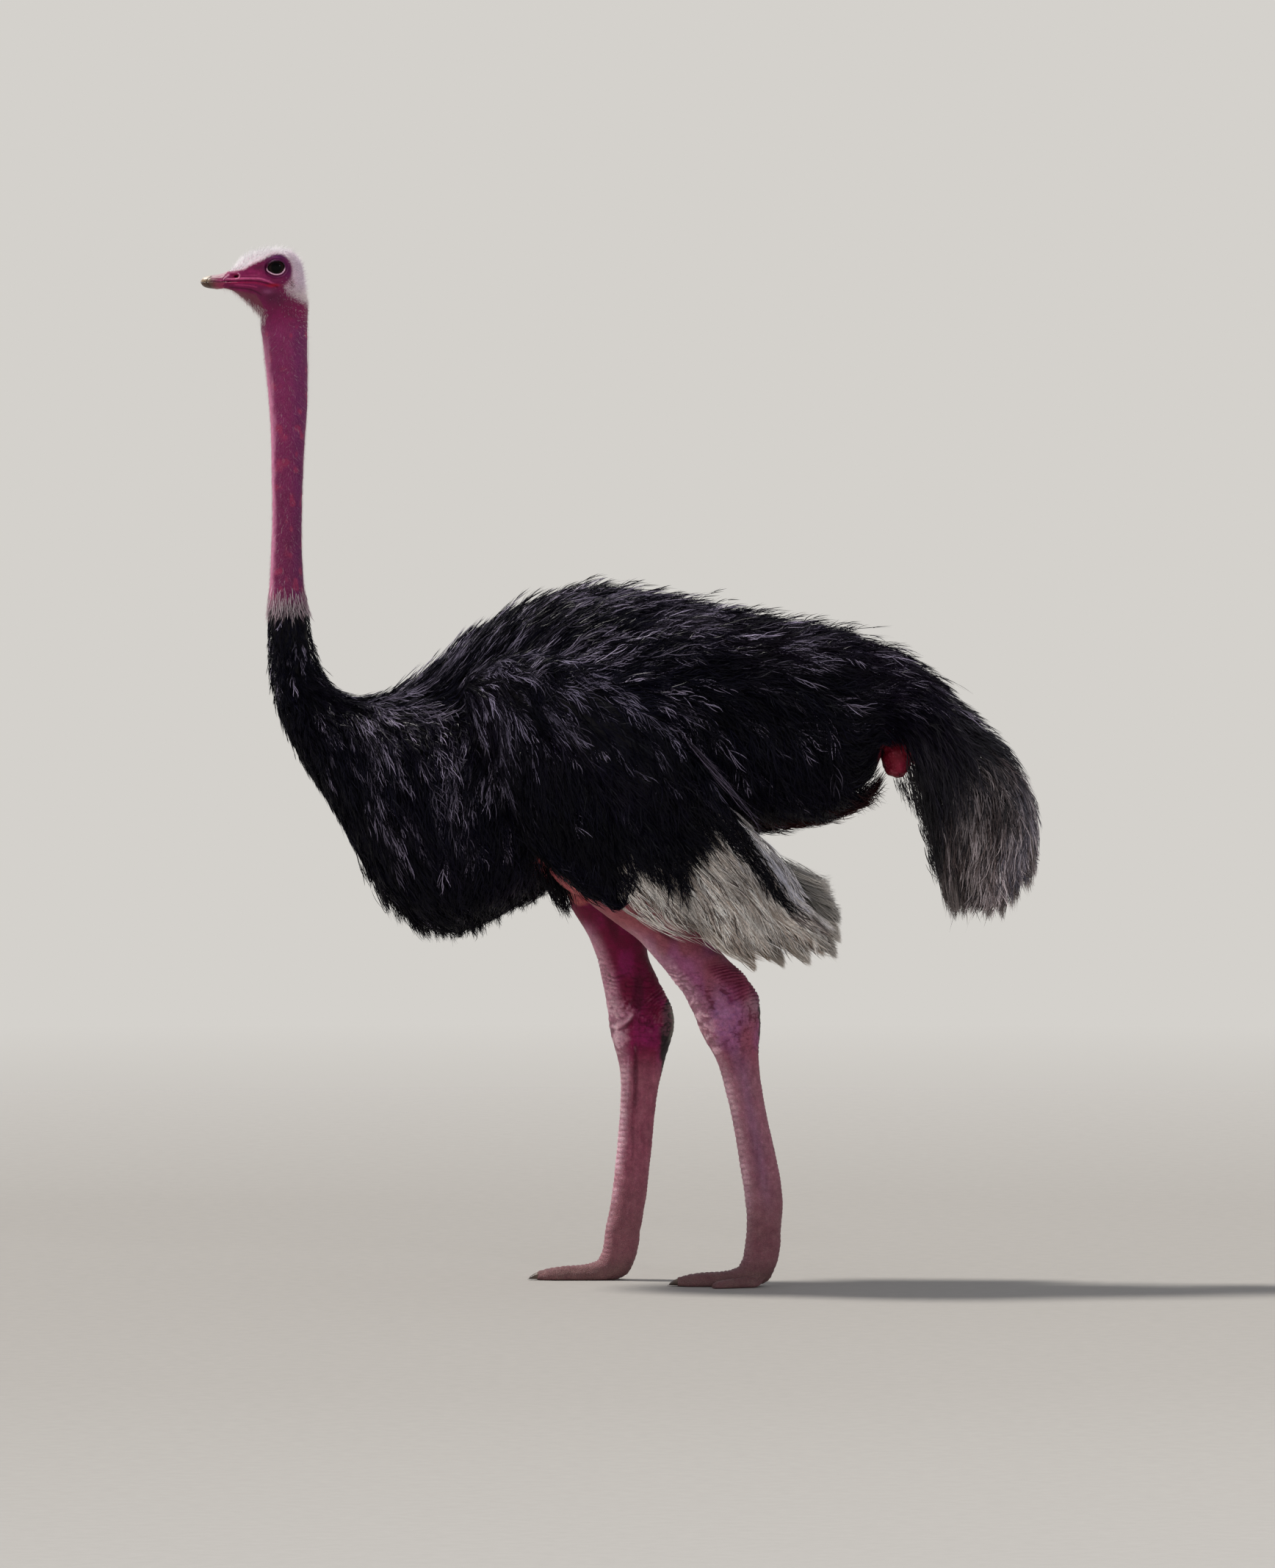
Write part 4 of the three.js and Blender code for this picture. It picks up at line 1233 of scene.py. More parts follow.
def paint_bill(piece, upper):
    p, normal = arrays(piece)
    x, _, z = p.T
    bill = Paint(p, srgb(150, 96, 112) if upper else srgb(112, 62, 52))
    nail = ease(-892, -901, x)
    if upper:
        bill.over((84, 48, 48), ease(2190.5, 2186, z) * 0.85)
        bill.over((138, 24, 82), ease(-896, -868, x + 0.5 * (2190 - z)))
        # Painted highlight: paler where the upper bill faces upwards, towards its tip.
        bill.over((214, 192, 196), ease(0.5, 0.95, normal[:, 2]) * ease(-925, -880, x) * 0.75)
        bill.over((146, 124, 92), nail * 0.8)
        # Painted highlight: the nail paler where it faces upwards.
        bill.over((232, 222, 208), nail * ease(0.1, 0.8, normal[:, 2]) * 0.85)
    else:
        bill.over((92, 68, 40), nail * 0.9)
        bill.over((64, 34, 30), ease(2181, 2177, z) * ease(-872, -890, x) * 0.6)
        bill.over((146, 18, 76), ease(-898, -870, x))
    seam = UPPER_SEAM + LOWER_SEAM[1:]
    bill.over((44, 26, 22), bell(line_distance(x, z, seam, 30)[0], 1.2) * 0.8)
    # Painted shade: a dark line in the slit of the mouth, between the two halves.
    bill.over((50, 26, 24), bell(z - 2181.6, 0.9) * 0.7)
    streak = noise(p * [0.12, 1, 1], 1.6, 61)
    paint(piece, np.clip(bill.colour * (1 + 0.14 * streak)[:, None], 0, 1))


# ------------------------------------------------------------------ materials


class Material:
    """A Principled surface whose colour, gloss and bump are built from nodes."""

    def __init__(self, name, **constants):
        self.material = bpy.data.materials.new(name)
        self.material.use_nodes = True
        self.tree = self.material.node_tree
        self.shader = self.tree.nodes["Principled BSDF"]
        for socket, value in constants.items():
            self.shader.inputs[socket.replace("_", " ")].default_value = value
        self.place = self.add("TexCoord").outputs["Object"]

    def add(self, kind, inputs=None, **settings):
        made = self.tree.nodes.new("ShaderNode" + kind)
        for key, value in settings.items():
            setattr(made, key, value)
        for socket, value in (inputs or {}).items():
            self.feed(made.inputs[socket], value)
        return made

    def feed(self, socket, value):
        if isinstance(value, bpy.types.NodeSocket):
            self.tree.links.new(value, socket)
        else:
            socket.default_value = value

    def attribute(self, name):
        return self.add("Attribute", attribute_name=name).outputs["Color"]

    def math(self, operation, *values):
        made = self.add("Math", operation=operation)
        for socket, value in zip(made.inputs, values):
            self.feed(socket, value)
        return made.outputs[0]

    def ramp(self, value, low, high, to_low=0.0, to_high=1.0):
        ends = {"From Min": low, "From Max": high, "To Min": to_low, "To Max": to_high}
        return self.add("MapRange", {"Value": value, **ends}, clamp=True).outputs[0]

    def noise(self, scale, detail=3.0, rough=0.55, vector=None):
        inputs = {"Vector": vector or self.place, "Scale": scale, "Detail": detail, "Roughness": rough}
        return self.add("TexNoise", inputs).outputs[0]

    def cells(self, scale, feature="F1"):
        return self.add("TexVoronoi", {"Vector": self.place, "Scale": scale}, feature=feature).outputs[0]

    def blend(self, share, first, second, how="MIX"):
        mixed = self.add("Mix", data_type="RGBA", blend_type=how)
        for socket, value in zip((0, 6, 7), (share, first, second)):
            self.feed(mixed.inputs[socket], value)
        return mixed.outputs[2]

    def scaled(self, colour, factor):
        return self.blend(1.0, colour, factor, "MULTIPLY")

    def mottled(self, value, *ranges):
        """The painted colour, its red, green and blue each scaled through a range by the value."""
        parts = zip(("Red", "Green", "Blue"), ranges)
        factor = self.add("CombineColor", {name: self.ramp(value, 0.3, 0.7, *ends) for name, ends in parts})
        return self.scaled(self.attribute("Tint"), factor.outputs[0])

    def bump(self, height, strength, distance):
        bump = self.add("Bump", {"Height": height, "Strength": strength, "Distance": distance})
        self.feed(self.shader.inputs["Normal"], bump.outputs[0])

    def finish(self, colour, rough):
        self.feed(self.shader.inputs["Base Color"], colour)
        self.feed(self.shader.inputs["Roughness"], rough)
        return self.material


def skin_material():
    m = Material("ostrich_skin", Specular_IOR_Level=0.2, Subsurface_Weight=0.05, Subsurface_Scale=0.003)
    kind = m.add("SeparateColor", {"Color": m.attribute("Kind")})
    legs_share, neck_share, face_share = kind.outputs
    scales = m.cells(290, "DISTANCE_TO_EDGE")
    pimples = m.cells(420)
    pores = m.noise(900, 2)
    broad = m.noise(60, 4)
    scale_edge = m.ramp(scales, 0.0, 0.09)
    tint = m.mottled(broad, (0.9, 1.1), (0.8, 1.2), (0.86, 1.14))
    tint = m.scaled(tint, m.ramp(m.noise(380, 4), 0.3, 0.7, 0.84, 1.18))
    groove = m.math("MULTIPLY", legs_share, m.ramp(scale_edge, 0.0, 1.0, 0.34, 0.0))
    tint = m.blend(groove, tint, (*srgb(96, 42, 58), 1))
    speck = m.math("MULTIPLY", neck_share, m.ramp(pimples, 0.34, 0.14, 0.0, 0.55))
    tint = m.blend(speck, tint, (*srgb(232, 158, 196), 1))
    rough = m.math("ADD", m.ramp(broad, 0.3, 0.7, 0.46, 0.6), m.math("MULTIPLY", face_share, -0.08))
    height = m.math("MULTIPLY", legs_share, m.ramp(scales, 0.0, 0.2, 0.0, 1.0))
    height = m.math("ADD", height, m.math("MULTIPLY", neck_share, m.ramp(pimples, 0.5, 0.0, 0.0, 1.0)))
    height = m.math("ADD", height, m.math("MULTIPLY", pores, 0.5))
    m.bump(height, 0.7, 0.0011)
    return m.finish(tint, rough)


def horn_material(name, scale):
    m = Material(name, Specular_IOR_Level=0.5, Coat_Weight=0.15, Coat_Roughness=0.25)
    stretched = m.add("Mapping", {"Vector": m.place, "Scale": (0.15, 1, 1)}).outputs[0]
    grain = m.noise(scale, 4, 0.6, stretched)
    tint = m.mottled(grain, (0.85, 1.15), (0.82, 1.18), (0.8, 1.2))
    m.bump(grain, 0.35, 0.0006)
    return m.finish(tint, m.ramp(grain, 0.3, 0.7, 0.32, 0.5))


def eye_material():
    m = Material("eye_surface", Specular_IOR_Level=0.05, Coat_Weight=0.08, Coat_Roughness=0.02)
    grain = m.noise(700, 3)
    tint = m.scaled(m.attribute("Tint"), m.ramp(grain, 0.3, 0.7, 0.8, 1.2))
    return m.finish(tint, m.ramp(grain, 0.3, 0.7, 0.05, 0.09))


def feather_material(name, rough, sheen, specular):
    m = Material(name, Specular_IOR_Level=specular, Sheen_Weight=sheen, Sheen_Roughness=0.4)
    m.shader.inputs["Sheen Tint"].default_value = (0.8, 0.78, 0.95, 1)
    broad = m.noise(14, 3)
    grain = m.noise(260, 2)
    shade = m.math("MULTIPLY", m.ramp(broad, 0.3, 0.7, 0.85, 1.15), m.ramp(grain, 0.25, 0.75, 0.75, 1.25))
    tint = m.scaled(m.attribute("Tint"), shade)
    return m.finish(tint, m.ramp(grain, 0.25, 0.75, rough - 0.08, rough + 0.08))


def dress(piece, material, slot, *nodes):
    piece.data.materials.clear()
    piece.data.materials.append(material)
    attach(piece, "root")
    if nodes:
        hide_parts(*nodes)
    return piece


# ------------------------------------------------------------------ the coat

PATCH = 0.003  # width of each strand's place on the OFBake map
PIECE_TRIANGLES = 190_000  # the most that one piece may have
# Feathers to the square metre of each part.
ON_TRUNK, ON_WING, ON_TAIL, PLUMES = 7000, 7400, 7000, 7800


def locks(body, s, turn, size):
    """The way from the middle of its lock to each root, along the body and round it, and a number
    from -1 to 1 that the whole lock shares."""
    row = np.floor(s / size + 0.35 * np.sin(turn * 40))
    about = np.interp((row + 0.5) * size, body.s, body.stretch[..., 1].mean(1))
    columns = np.maximum(np.round(about / size), 1)
    column = np.floor(np.mod(turn, 1) * columns + np.mod(row, 2) * 0.5)
    own = np.modf(np.abs(np.sin(row * 12.9898 + column * 78.233)) * 43758.5453)[0]
    other = np.modf(np.abs(np.sin(row * 39.3468 + column * 11.135)) * 24634.6345)[0]
    ahead = s - (row + 0.5 + 0.5 * (own - 0.5)) * size
    beside = np.mod(turn, 1) - (column + 0.5 - np.mod(row, 2) * 0.5 + 0.5 * (other - 0.5)) / columns
    return ahead, beside, 2 * np.modf(own * 7 + other * 3)[0] - 1


def comb(body, s, turn, length, steps, bend, low, high, power=0.8, draw=None):
    """Paths from places on a body along the lie of its coat, rising from one height to another and
    drawn together by as much as draw says."""
    trail_s, trail_turn = body.walk(s, turn, length, steps, bend)
    share = np.linspace(0, 1, steps)
    if draw is not None:
        trail_s = trail_s - draw[0][:, None] * share**1.5
        trail_turn = trail_turn - draw[1][:, None] * share**1.5
    height = low[:, None] + (high - low)[:, None] * share**power
    return body.place(trail_s, trail_turn, height), trail_s, trail_turn


class Coat:
    """Thin tapered ribbons, gathered until they are made into pieces. Taper is their width at each
    step but the last, where they end in a point, by the number of steps."""

    TAPER = {3: [0.9, 0.8], 4: [0.75, 1.0, 0.65], 5: [0.7, 1.0, 0.9, 0.6], 6: [0.6, 1.0, 1.0, 0.85, 0.55]}

    def __init__(self, body):
        self.body = body
        self.parts = []

    def strands(self, paths, trail_s, trail_turn, width, root, tip, twist=0.7):
        """Adds ribbons: root and tip are their colours, and twist how far they roll from lying flat."""
        n, steps = paths.shape[:2]
        normal = unit(self.body.read(self.body.normal, trail_s, trail_turn))
        along = unit(np.gradient(paths, axis=1))
        side = unit(np.cross(along, normal))
        up = np.cross(side, along)
        roll = rng.normal(0, twist, n)[:, None, None]
        side = side * np.cos(roll) + up * np.sin(roll)
        half = side[:, :-1] * np.array(self.TAPER[steps])[None, :, None] * width[:, None, None] / 2
        edges = np.stack([paths[:, :-1] - half, paths[:, :-1] + half], 2).reshape(n, -1, 3)
        points = np.concatenate([edges, paths[:, -1:]], 1)
        share = np.append(np.repeat(np.linspace(0, 1, steps)[:-1], 2), 1)
        across = np.append(np.tile([0, 1], steps - 1), 0.5)
        colours = mix(root[:, None], tip[:, None], share[None, :, None])
        shares = [np.mod(trail_turn[:, 0], 1), np.clip(trail_s[:, 0] / self.body.end, 0, 1)]
        at = 0.01 + 0.97 * np.stack(shares, 1)
        uv = at[:, None] + PATCH * np.stack([across, share], 1)[None]
        self.parts.append((points, colours, uv))

    def tufts(self, s, turn, length, width, low, high, root, tip, barbs=8, splay=34, barb=0.42, curl=0.25,
              twist=0.7, mess=1.0, limit=1e9, lock=30, together=0.7, keep=None):
        """Adds loose feathers: a shaft with a few barbs each side that curve in towards its tip. Mess
        is how far they stray from the lie of the coat, and none goes past the limit along the body.
        Those of one lock draw together towards its tip, and keep chooses feathers by their paths."""
        n = len(s)
        ahead, beside, whole = locks(self.body, s, turn, lock)
        room = limit + 18 * whole - s
        length = np.minimum(length * (1 + 0.25 * whole), np.maximum(room, 14))
        places = self.body.place(s, turn, np.ones(n))
        lean = mess * (0.34 * noise(places, 70, 71) + 0.22 * noise(places, 24, 72) + rng.normal(0, 0.12, n))
        lean = lean + 0.22 * mess * whole
        sway = mess * rng.normal(0, curl, n)
        phase = rng.uniform(0, 2 * math.pi, n)
        strength = together * rng.uniform(0.5, 1.1, n)

        def swing(t):
            return lean + sway * t + 0.22 * mess * np.sin(phase + 7 * t)

        draw = (ahead * strength, beside * strength)
        paths, ts, tt = comb(self.body, s, turn, length, 6, swing, low, high, draw=draw)
        chosen = room > 30
        if keep is not None:
            chosen &= keep(paths, whole)
        every = (paths, ts, tt, length, width, low, high, root, tip, lean, sway)
        paths, ts, tt, length, width, low, high, root, tip, lean, sway = (v[chosen] for v in every)
        n = len(paths)
        self.strands(paths, ts, tt, width * 1.15, root, tip, twist)
        # Each barb starts at a share of the shaft, at, between its steps i and i + 1.
        k = np.arange(barbs)
        at = np.clip((k + 0.5 + rng.uniform(-0.4, 0.4, (n, barbs))) / barbs * 0.82, 0, 0.9)
        i = np.minimum((at * 5).astype(int), 4)
        f = at * 5 - i
        rows = np.arange(n)[:, None]
        barb_s = mix(ts[rows, i], ts[rows, i + 1], f).ravel()
        barb_turn = mix(tt[rows, i], tt[rows, i + 1], f).ravel()
        side = np.where(k % 2, 1.0, -1.0)
        angle = (side * np.radians(splay) * rng.uniform(0.5, 1.35, (n, barbs)) * (1 - 0.4 * at)).ravel()
        base = (lean[:, None] + sway[:, None] * at).ravel()
        size = (length[:, None] * barb * rng.uniform(0.75, 1.25, (n, barbs)) * (1.1 - 0.4 * at)).ravel()
        rise = (high - low)[:, None]
        start = low[:, None] + rise * at**0.8
        end = start + rise * rng.uniform(0.15, 0.7, (n, barbs)) * (1 - at) + 0.05
        turned = mess * rng.normal(0, 0.35, n * barbs)

        def curl_in(t):
            return base + angle * (1 - t) + turned * t

        def varied(colour):
            return np.repeat(colour, barbs, 0) * np.exp(rng.normal(0, 0.16, n * barbs))[:, None]

        start, end = start.ravel() - 0.02, end.ravel()
        paths, ts, tt = comb(self.body, barb_s, barb_turn, size, 4, curl_in, start, end)
        self.strands(paths, ts, tt, np.repeat(width, barbs), varied(mix(root, tip, 0.3)), varied(tip), twist)

    def hang(self, tips, flow, length, spread, count, width, root, tip, blunt=4.0):
        """Adds pointed locks that hang clear: strands from a patch of roots that meet at each end
        point, leaving along the flow."""
        fewest = 8
        ends = np.repeat(np.asarray(tips, float), max(int(count * COAT_SHARE), fewest), 0)
        flow = unit(np.asarray(flow, float))
        n = len(ends)
        back = length * rng.uniform(0.6, 1.2, (n, 1))
        start = ends - flow * back + rng.normal(0, spread, (n, 3))
        ends = ends + rng.normal(0, blunt, (n, 3)) + [0, 0, 1] * (rng.random((n, 1)) ** 2 * 0.35 * back)
        control = start + flow * back * 0.6 + rng.normal(0, 0.06, (n, 3)) * back
        t = np.linspace(0, 1, 6)[None, :, None]
        paths = (1 - t) ** 2 * start[:, None] + 2 * t * (1 - t) * control[:, None] + t**2 * ends[:, None]
        s, turn = self.body.nearest(start)
        tone = np.exp(rng.normal(0, 0.2, (n, 1)))
        wide = width * rng.uniform(0.7, 1.2, n) * COAT_WIDTH
        self.strands(paths, repeated(s, 6), repeated(turn, 6), wide, root * tone, tip * tone, 1.0)

    def make(self, name, material, slot, *nodes):
        """Makes pieces of all the ribbons so far, none with more triangles than one piece may have."""
        pieces, made = {}, []
        for points, colours, uv in self.parts:
            pieces.setdefault(points.shape[1], []).append((points, colours, uv))
        packs, room = [[]], PIECE_TRIANGLES
        for size, group in pieces.items():
            block = [np.concatenate([part[i] for part in group]) for i in range(3)]
            each, start = size - 2, 0
            while start < len(block[0]):
                take = min(room // each, len(block[0]) - start)
                if take <= 0:
                    packs.append([])
                    room = PIECE_TRIANGLES
                    continue
                packs[-1].append([part[start : start + take] for part in block])
                room -= take * each
                start += take
        for number, pack in enumerate(packs, 1):
            points, faces, colours, uvs, start = [], [], [], [], 0
            for block, colour, uv in pack:
                n, size = block.shape[:2]
                first = start + np.arange(n)[:, None, None] * size
                k = 2 * np.arange((size - 1) // 2 - 1)[:, None]
                faces.append((first + k + [1, 0, 2, 3]).reshape(-1, 4))
                faces.append((first + [size - 2, size - 3, size - 1]).reshape(-1, 3))
                points.append(block.reshape(-1, 3))
                colours.append(colour.reshape(-1, 3))
                uvs.append(uv.reshape(-1, 2))
                start += n * size
            piece = make_mesh(name if len(packs) == 1 else f"{name}_{number}", np.concatenate(points), faces)
            paint(piece, np.clip(np.concatenate(colours), 0, 1))
            corner = np.concatenate([f.ravel() for f in faces])
            layer = piece.data.uv_layers.new(name="OFBake")
            layer.data.foreach_set("uv", np.concatenate(uvs)[corner].astype(np.float32).ravel())
            made.append(dress(piece, material, slot, *nodes))
        self.parts = []
        return made


def seeds(body, density, per_m2):
    """Random roots, so many to the square metre where density is 1, and where they lie in space."""
    cells = body.stretch[..., 0] * body.stretch[..., 1] / body.around * body.pitch
    count = int((cells * density)[:-1].sum() / 1e6 * per_m2 * COAT_SHARE)
    s, turn = body.scatter(count, density)
    return s, turn, body.place(s, turn, np.ones(count))


def lie(normal, along, gravity):
    """Tangents that run along a body, drawn downwards by gravity."""
    pull = gravity[..., None] * [0, 0, -1]
    return unit(along + pull - (pull * normal).sum(-1, keepdims=True) * normal)


def axis_lie(points, normal, along):
    """Back along the neck and spine, and ever steeper down the flanks and breast."""
    x, z = points[..., 0], points[..., 2]
    steep = 0.1 + 3.0 * ease(1400, 1000, z) ** 1.15
    return lie(normal, along, steep * ease(-700, -520, x) * ease(560, 430, x))


def wing_lie(points, normal, along):
    """Back along the wing, steeper at its front and along its lower edge."""
    x, z = points[..., 0], points[..., 2]
    return lie(normal, along, 0.4 + 0.5 * ease(100, -300, x) + 0.7 * ease(900, 740, z))


mantle.flow(axis_lie)
for wing in wings.values():
    wing.flow(wing_lie)


def black(places, brown=0.0):
    """The colour of black plumage at some places, feather by feather."""
    n = len(places)
    tone = np.exp(rng.normal(0, 0.3, n) + 0.3 * noise(places, 130, 81))[:, None]
    base = mix(srgb(8, 7, 19), srgb(27, 18, 31), np.clip(brown + 0.3 * noise(places, 90, 82), 0, 1)[:, None])
    return base * tone


def lots(chance, kinds):
    """A colour for each chance: of each kind, the chance below which it is drawn, and its colour."""
    picked = np.searchsorted([limit for limit, _ in kinds], chance, side="right")
    return srgb(*[colour for _, colour in kinds])[picked]


def painted_glints(places, upward, whole):
    """How much painted highlight each feather's tip gets: most on the shoulder, the back and the breast, and
    where the coat faces upwards.
    """
    x, z = places[:, 0], places[:, 2]
    field = 0.22 * spot(x, z, -290, 1290, 190, 80) + 0.26 * spot(x, z, -370, 1125, 105, 90)
    field += 0.10 * spot(x, z, -520, 1150, 90, 130)
    field += 0.24 * ease(0.3, 0.85, upward) * mix(0.4, 1, ease(260, 60, x))
    field += 0.05 * ease(1150, 1300, z) + 0.014
    lucky = rng.random(len(places)) < field * (1 + whole) * (1 + 0.8 * noise(places, 60, 83))
    return (lucky * rng.uniform(0.12, 1, len(places)) ** 1.4)[:, None]


# Outlines of the plumage in side view: the upper edge of each wing's rear part, behind which the
# trunk shows; its lower front edge, over the bare flank; the lower edge of its black coverts, and the
# upper edge of their dark hindmost feather; how low its pale plumes hang, and their rear edge; and how
# low the tail's feathers reach.
WING_REAR = [(150, 1200), (214, 1098), (262, 1040), (309, 985), (341, 948), (405, 897), (470, 850)]
WING_FRONT = [(-190, 928), (-171, 919), (-128, 895), (-91, 866), (-60, 838), (-10, 826)]
COVERT_EDGE = [(-24, 800), (-8, 832), (14, 858), (60, 866), (110, 848), (149, 832), (172, 890), (200, 945),
               (240, 950), (283, 899), (315, 861), (354, 822), (380, 796)]
COVERT_REAR = [(238, 1034), (290, 970), (341, 899), (370, 835), (380, 796)]
PLUME_EDGE = [(-40, 850), (-8, 816), (60, 788), (120, 766), (181, 748), (206, 738), (232, 722), (262, 704),
              (290, 688), (322, 702), (353, 694), (384, 706), (409, 700), (440, 714), (480, 722)]
PLUME_REAR = [(150, 1200), (214, 1090), (262, 1030), (309, 973), (341, 925), (405, 846), (450, 790),
              (480, 750)]
TAIL_EDGE = [(600, 1080), (640, 1010), (672, 900), (698, 812), (740, 796), (800, 796), (832, 798),
             (862, 822), (895, 846), (920, 920)]
# Where hanging locks end, in side view and how far out to each side: wisps along the breast's lower
# edge, the black tuft below the bare flank, the fringes above, below and ahead of the vent, the tail's
# locks, and those of its black front edge.
BREAST_TIPS = [(-540, 866, 60), (-520, 838, 40), (-498, 812, 80), (-474, 790, 50), (-442, 766, 60),
               (-419, 752, 40), (-395, 750, 70), (-371, 746, 30), (-347, 748, 60), (-326, 756, 90),
               (-307, 766, 50), (-286, 780, 80), (-267, 792, 40), (-243, 802, 90), (-219, 816, 60),
               (-196, 830, 90), (-172, 840, 60)]
FLANK_TIPS = [(-168, 872, 120), (-152, 850, 128), (-140, 826, 138), (-126, 804, 130), (-112, 798, 116),
              (-148, 866, 104), (-134, 850, 112), (-120, 832, 116), (-106, 818, 112), (-126, 858, 88)]
VENT_TIPS = [(584, 1152, 16), (600, 1150, 26), (574, 1140, 24), (614, 1152, 14)]
BELOW_VENT_TIPS = [(604, 1070, 24), (616, 1054, 40), (628, 1042, 56)]
RUMP_TIPS = [(566, 1060, 40), (560, 1046, 62), (546, 1036, 50), (526, 1030, 70), (500, 1022, 46),
             (470, 1016, 60)]
TAIL_TIPS = [(712, 812, 50), (726, 806, 70), (738, 798, 40), (764, 810, 80), (797, 798, 60), (829, 799, 76),
             (848, 816, 60), (864, 830, 70), (882, 854, 46), (894, 890, 64)]
TAIL_FRONT = [(646, 1052, 60), (656, 1018, 76), (666, 986, 66), (676, 950, 84), (686, 912, 70),
              (694, 870, 80)]
# Where the plumes' hanging locks end, in side view, and how brown each is.
PLUME_TIPS = [(206, 742, 0.3), (232, 722, 0.9), (262, 704, 1.0), (290, 684, 0.6), (322, 706, 0.7),
              (353, 691, 0.3), (384, 712, 0.4), (409, 697, 0.2), (440, 716, 0.3), (466, 712, 0.1),
              (474, 746, 0.1), (474, 786, 0.0), (462, 822, 0.0), (452, 850, 0.0)]


def on_vent(x, z):
    """Below 1 on the bare place under the tail, in side view."""
    return np.hypot((x - 596) / 31, (z - 1133) / 34)


def over_flank(x, z):
    """How far a place lies above the wing's lower front edge, or behind it."""
    return np.where((x > -190) & (x < -10), z - along_line(x, WING_FRONT), 1e3)


def on_trunk(x, z):
    """Where the side of the trunk shows above and behind the wing's rear edge."""
    return z > along_line(x, WING_REAR)


def plumage_of_trunk(material):
    coat = Coat(mantle)
    way = mantle.s[:, None] - AXIS_COLLAR + 0 * mantle.outer[..., 0]
    before_tail = ease(AXIS_END + 60, AXIS_END - 20, mantle.s)[:, None]
    density = (way > -8) * np.where(way < 300, 1.7, 1.0) * before_tail
    density = density * (on_vent(mantle.outer[..., 0], mantle.outer[..., 2]) > 1)
    s, turn, place = seeds(mantle, density, ON_TRUNK)
    n = len(s)
    way = s - AXIS_COLLAR
    length = np.interp(way, [0, 60, 200, 420, 800, 1350, 1500], [24, 36, 60, 84, 98, 105, 135])
    length = length * np.exp(rng.normal(0, 0.16, n))
    width = np.interp(way, [0, 200, 600], [1.2, 1.5, 1.9]) * COAT_WIDTH
    x, z = place[:, 0], place[:, 2]
    upward = mantle.read(mantle.normal, s, turn)[:, 2]
    high = 0.86 + rng.normal(0, 0.09, n) + (rng.random(n) < 0.1) * rng.uniform(0.1, 0.5, n)
    high = high + ease(-0.2, -0.9, upward) * rng.uniform(0, 0.45, n)
    high = high + (rng.random(n) < 0.10) * ease(0.2, 0.7, upward) * rng.uniform(0.15, 0.7, n)
    low = 0.22 + 0 * high
    root = black(place, 0.35 * ease(-150, 250, x) * ease(1250, 1420, z))
    # Painted light: reddish brown along the lower rear edge of the belly, as light shining through the coat's
    # thin edge.
    root = mix(root, srgb(84, 26, 18), (ease(1040, 1005, z) * ease(250, 330, x) * 0.5)[:, None])
    # Painted highlight: pale tips on some feathers, where light would catch them.
    lit = painted_glints(place, upward, locks(mantle, s, turn, 30)[2])
    tip = mix(root * 1.4, srgb(196, 184, 214), lit)
    vent_ahead = 1 - 0.6 * bell(np.hypot((x - 570) / 90, (z - 1180) / 90), 1)
    over_plumes = (x > -60) & (z < 1200) & (np.abs(place[:, 1]) > 130)

    def keep(paths, whole):
        """Clear of the vent and the bare flank, and above the wing's lower and rear edges."""
        px, pz = paths[:, -1, 0], paths[:, -1, 2]
        clear = (on_vent(paths[..., 0], paths[..., 2]) > 1).all(1)
        on_wing = np.abs(paths[:, -1, 1]) >= 180
        bare = (line_distance(paths[..., 0], paths[..., 2], FLANK, 8)[0] < 15) & (np.abs(paths[..., 1]) > 60)
        clear &= np.where(on_wing, over_flank(px, pz) > -4 * whole, ~bare.any(1))
        return clear & (~over_plumes | on_trunk(px, pz) | (covert(px, pz) > -12 * whole))

    # Painted shade: each feather darker at its root, deep in the coat, than at its tip.
    root_colour = mix(root * 0.6, tip, 0.15 * lit)
    coat.tufts(s, turn, length * vent_ahead, width, low, high, root_colour, tip, mess=0.75, keep=keep)
    ink, backlit_brown = srgb(10, 8, 16), srgb(66, 24, 18)
    # The hanging locks, too, are painted darker at the root than at the tip, as shade.
    for x, z, y in BREAST_TIPS:
        ends = [(x + rng.normal(0, 6), side * y, z + rng.normal(0, 6)) for side in (-1, -0.5, 0, 0.5, 1)]
        coat.hang(ends, (0.3, 0, -1), 66, 7, 26, 1.6, ink, ink * 1.6, 5)
    fringes = (
        (FLANK_TIPS, (0.35, 0, -1), 62, 7, 30, 1.5, ink * 1.5, 5),
        (VENT_TIPS, (0.55, 0, -0.8), 58, 5, 16, 1.4, ink * 1.5, 5),
        (BELOW_VENT_TIPS, (0.16, 0, -1), 42, 6, 10, 1.3, ink * 1.3, 7),
        (RUMP_TIPS, (0.75, 0, -0.6), 55, 9, 14, 1.5, mix(ink, backlit_brown, 0.6), 9),
    )
    for side in (-1, 1):
        for tips, flow, length, spread, count, width, tip, blunt in fringes:
            for x, z, y in tips:
                coat.hang([(x, side * y, z)], flow, length, spread, count, width, ink, tip, blunt)
    return coat.make("plumage_trunk", material, "plumage", "neck_lower", "trunk")


def covert(x, z):
    """How deep in the wing's black coverts a place lies, below 0 on the pale plumes."""
    above = z - along_line(x, COVERT_EDGE)
    ahead = np.where(x > 238, along_line(x, COVERT_REAR) - z, 1e3)
    return np.minimum(above, ahead)


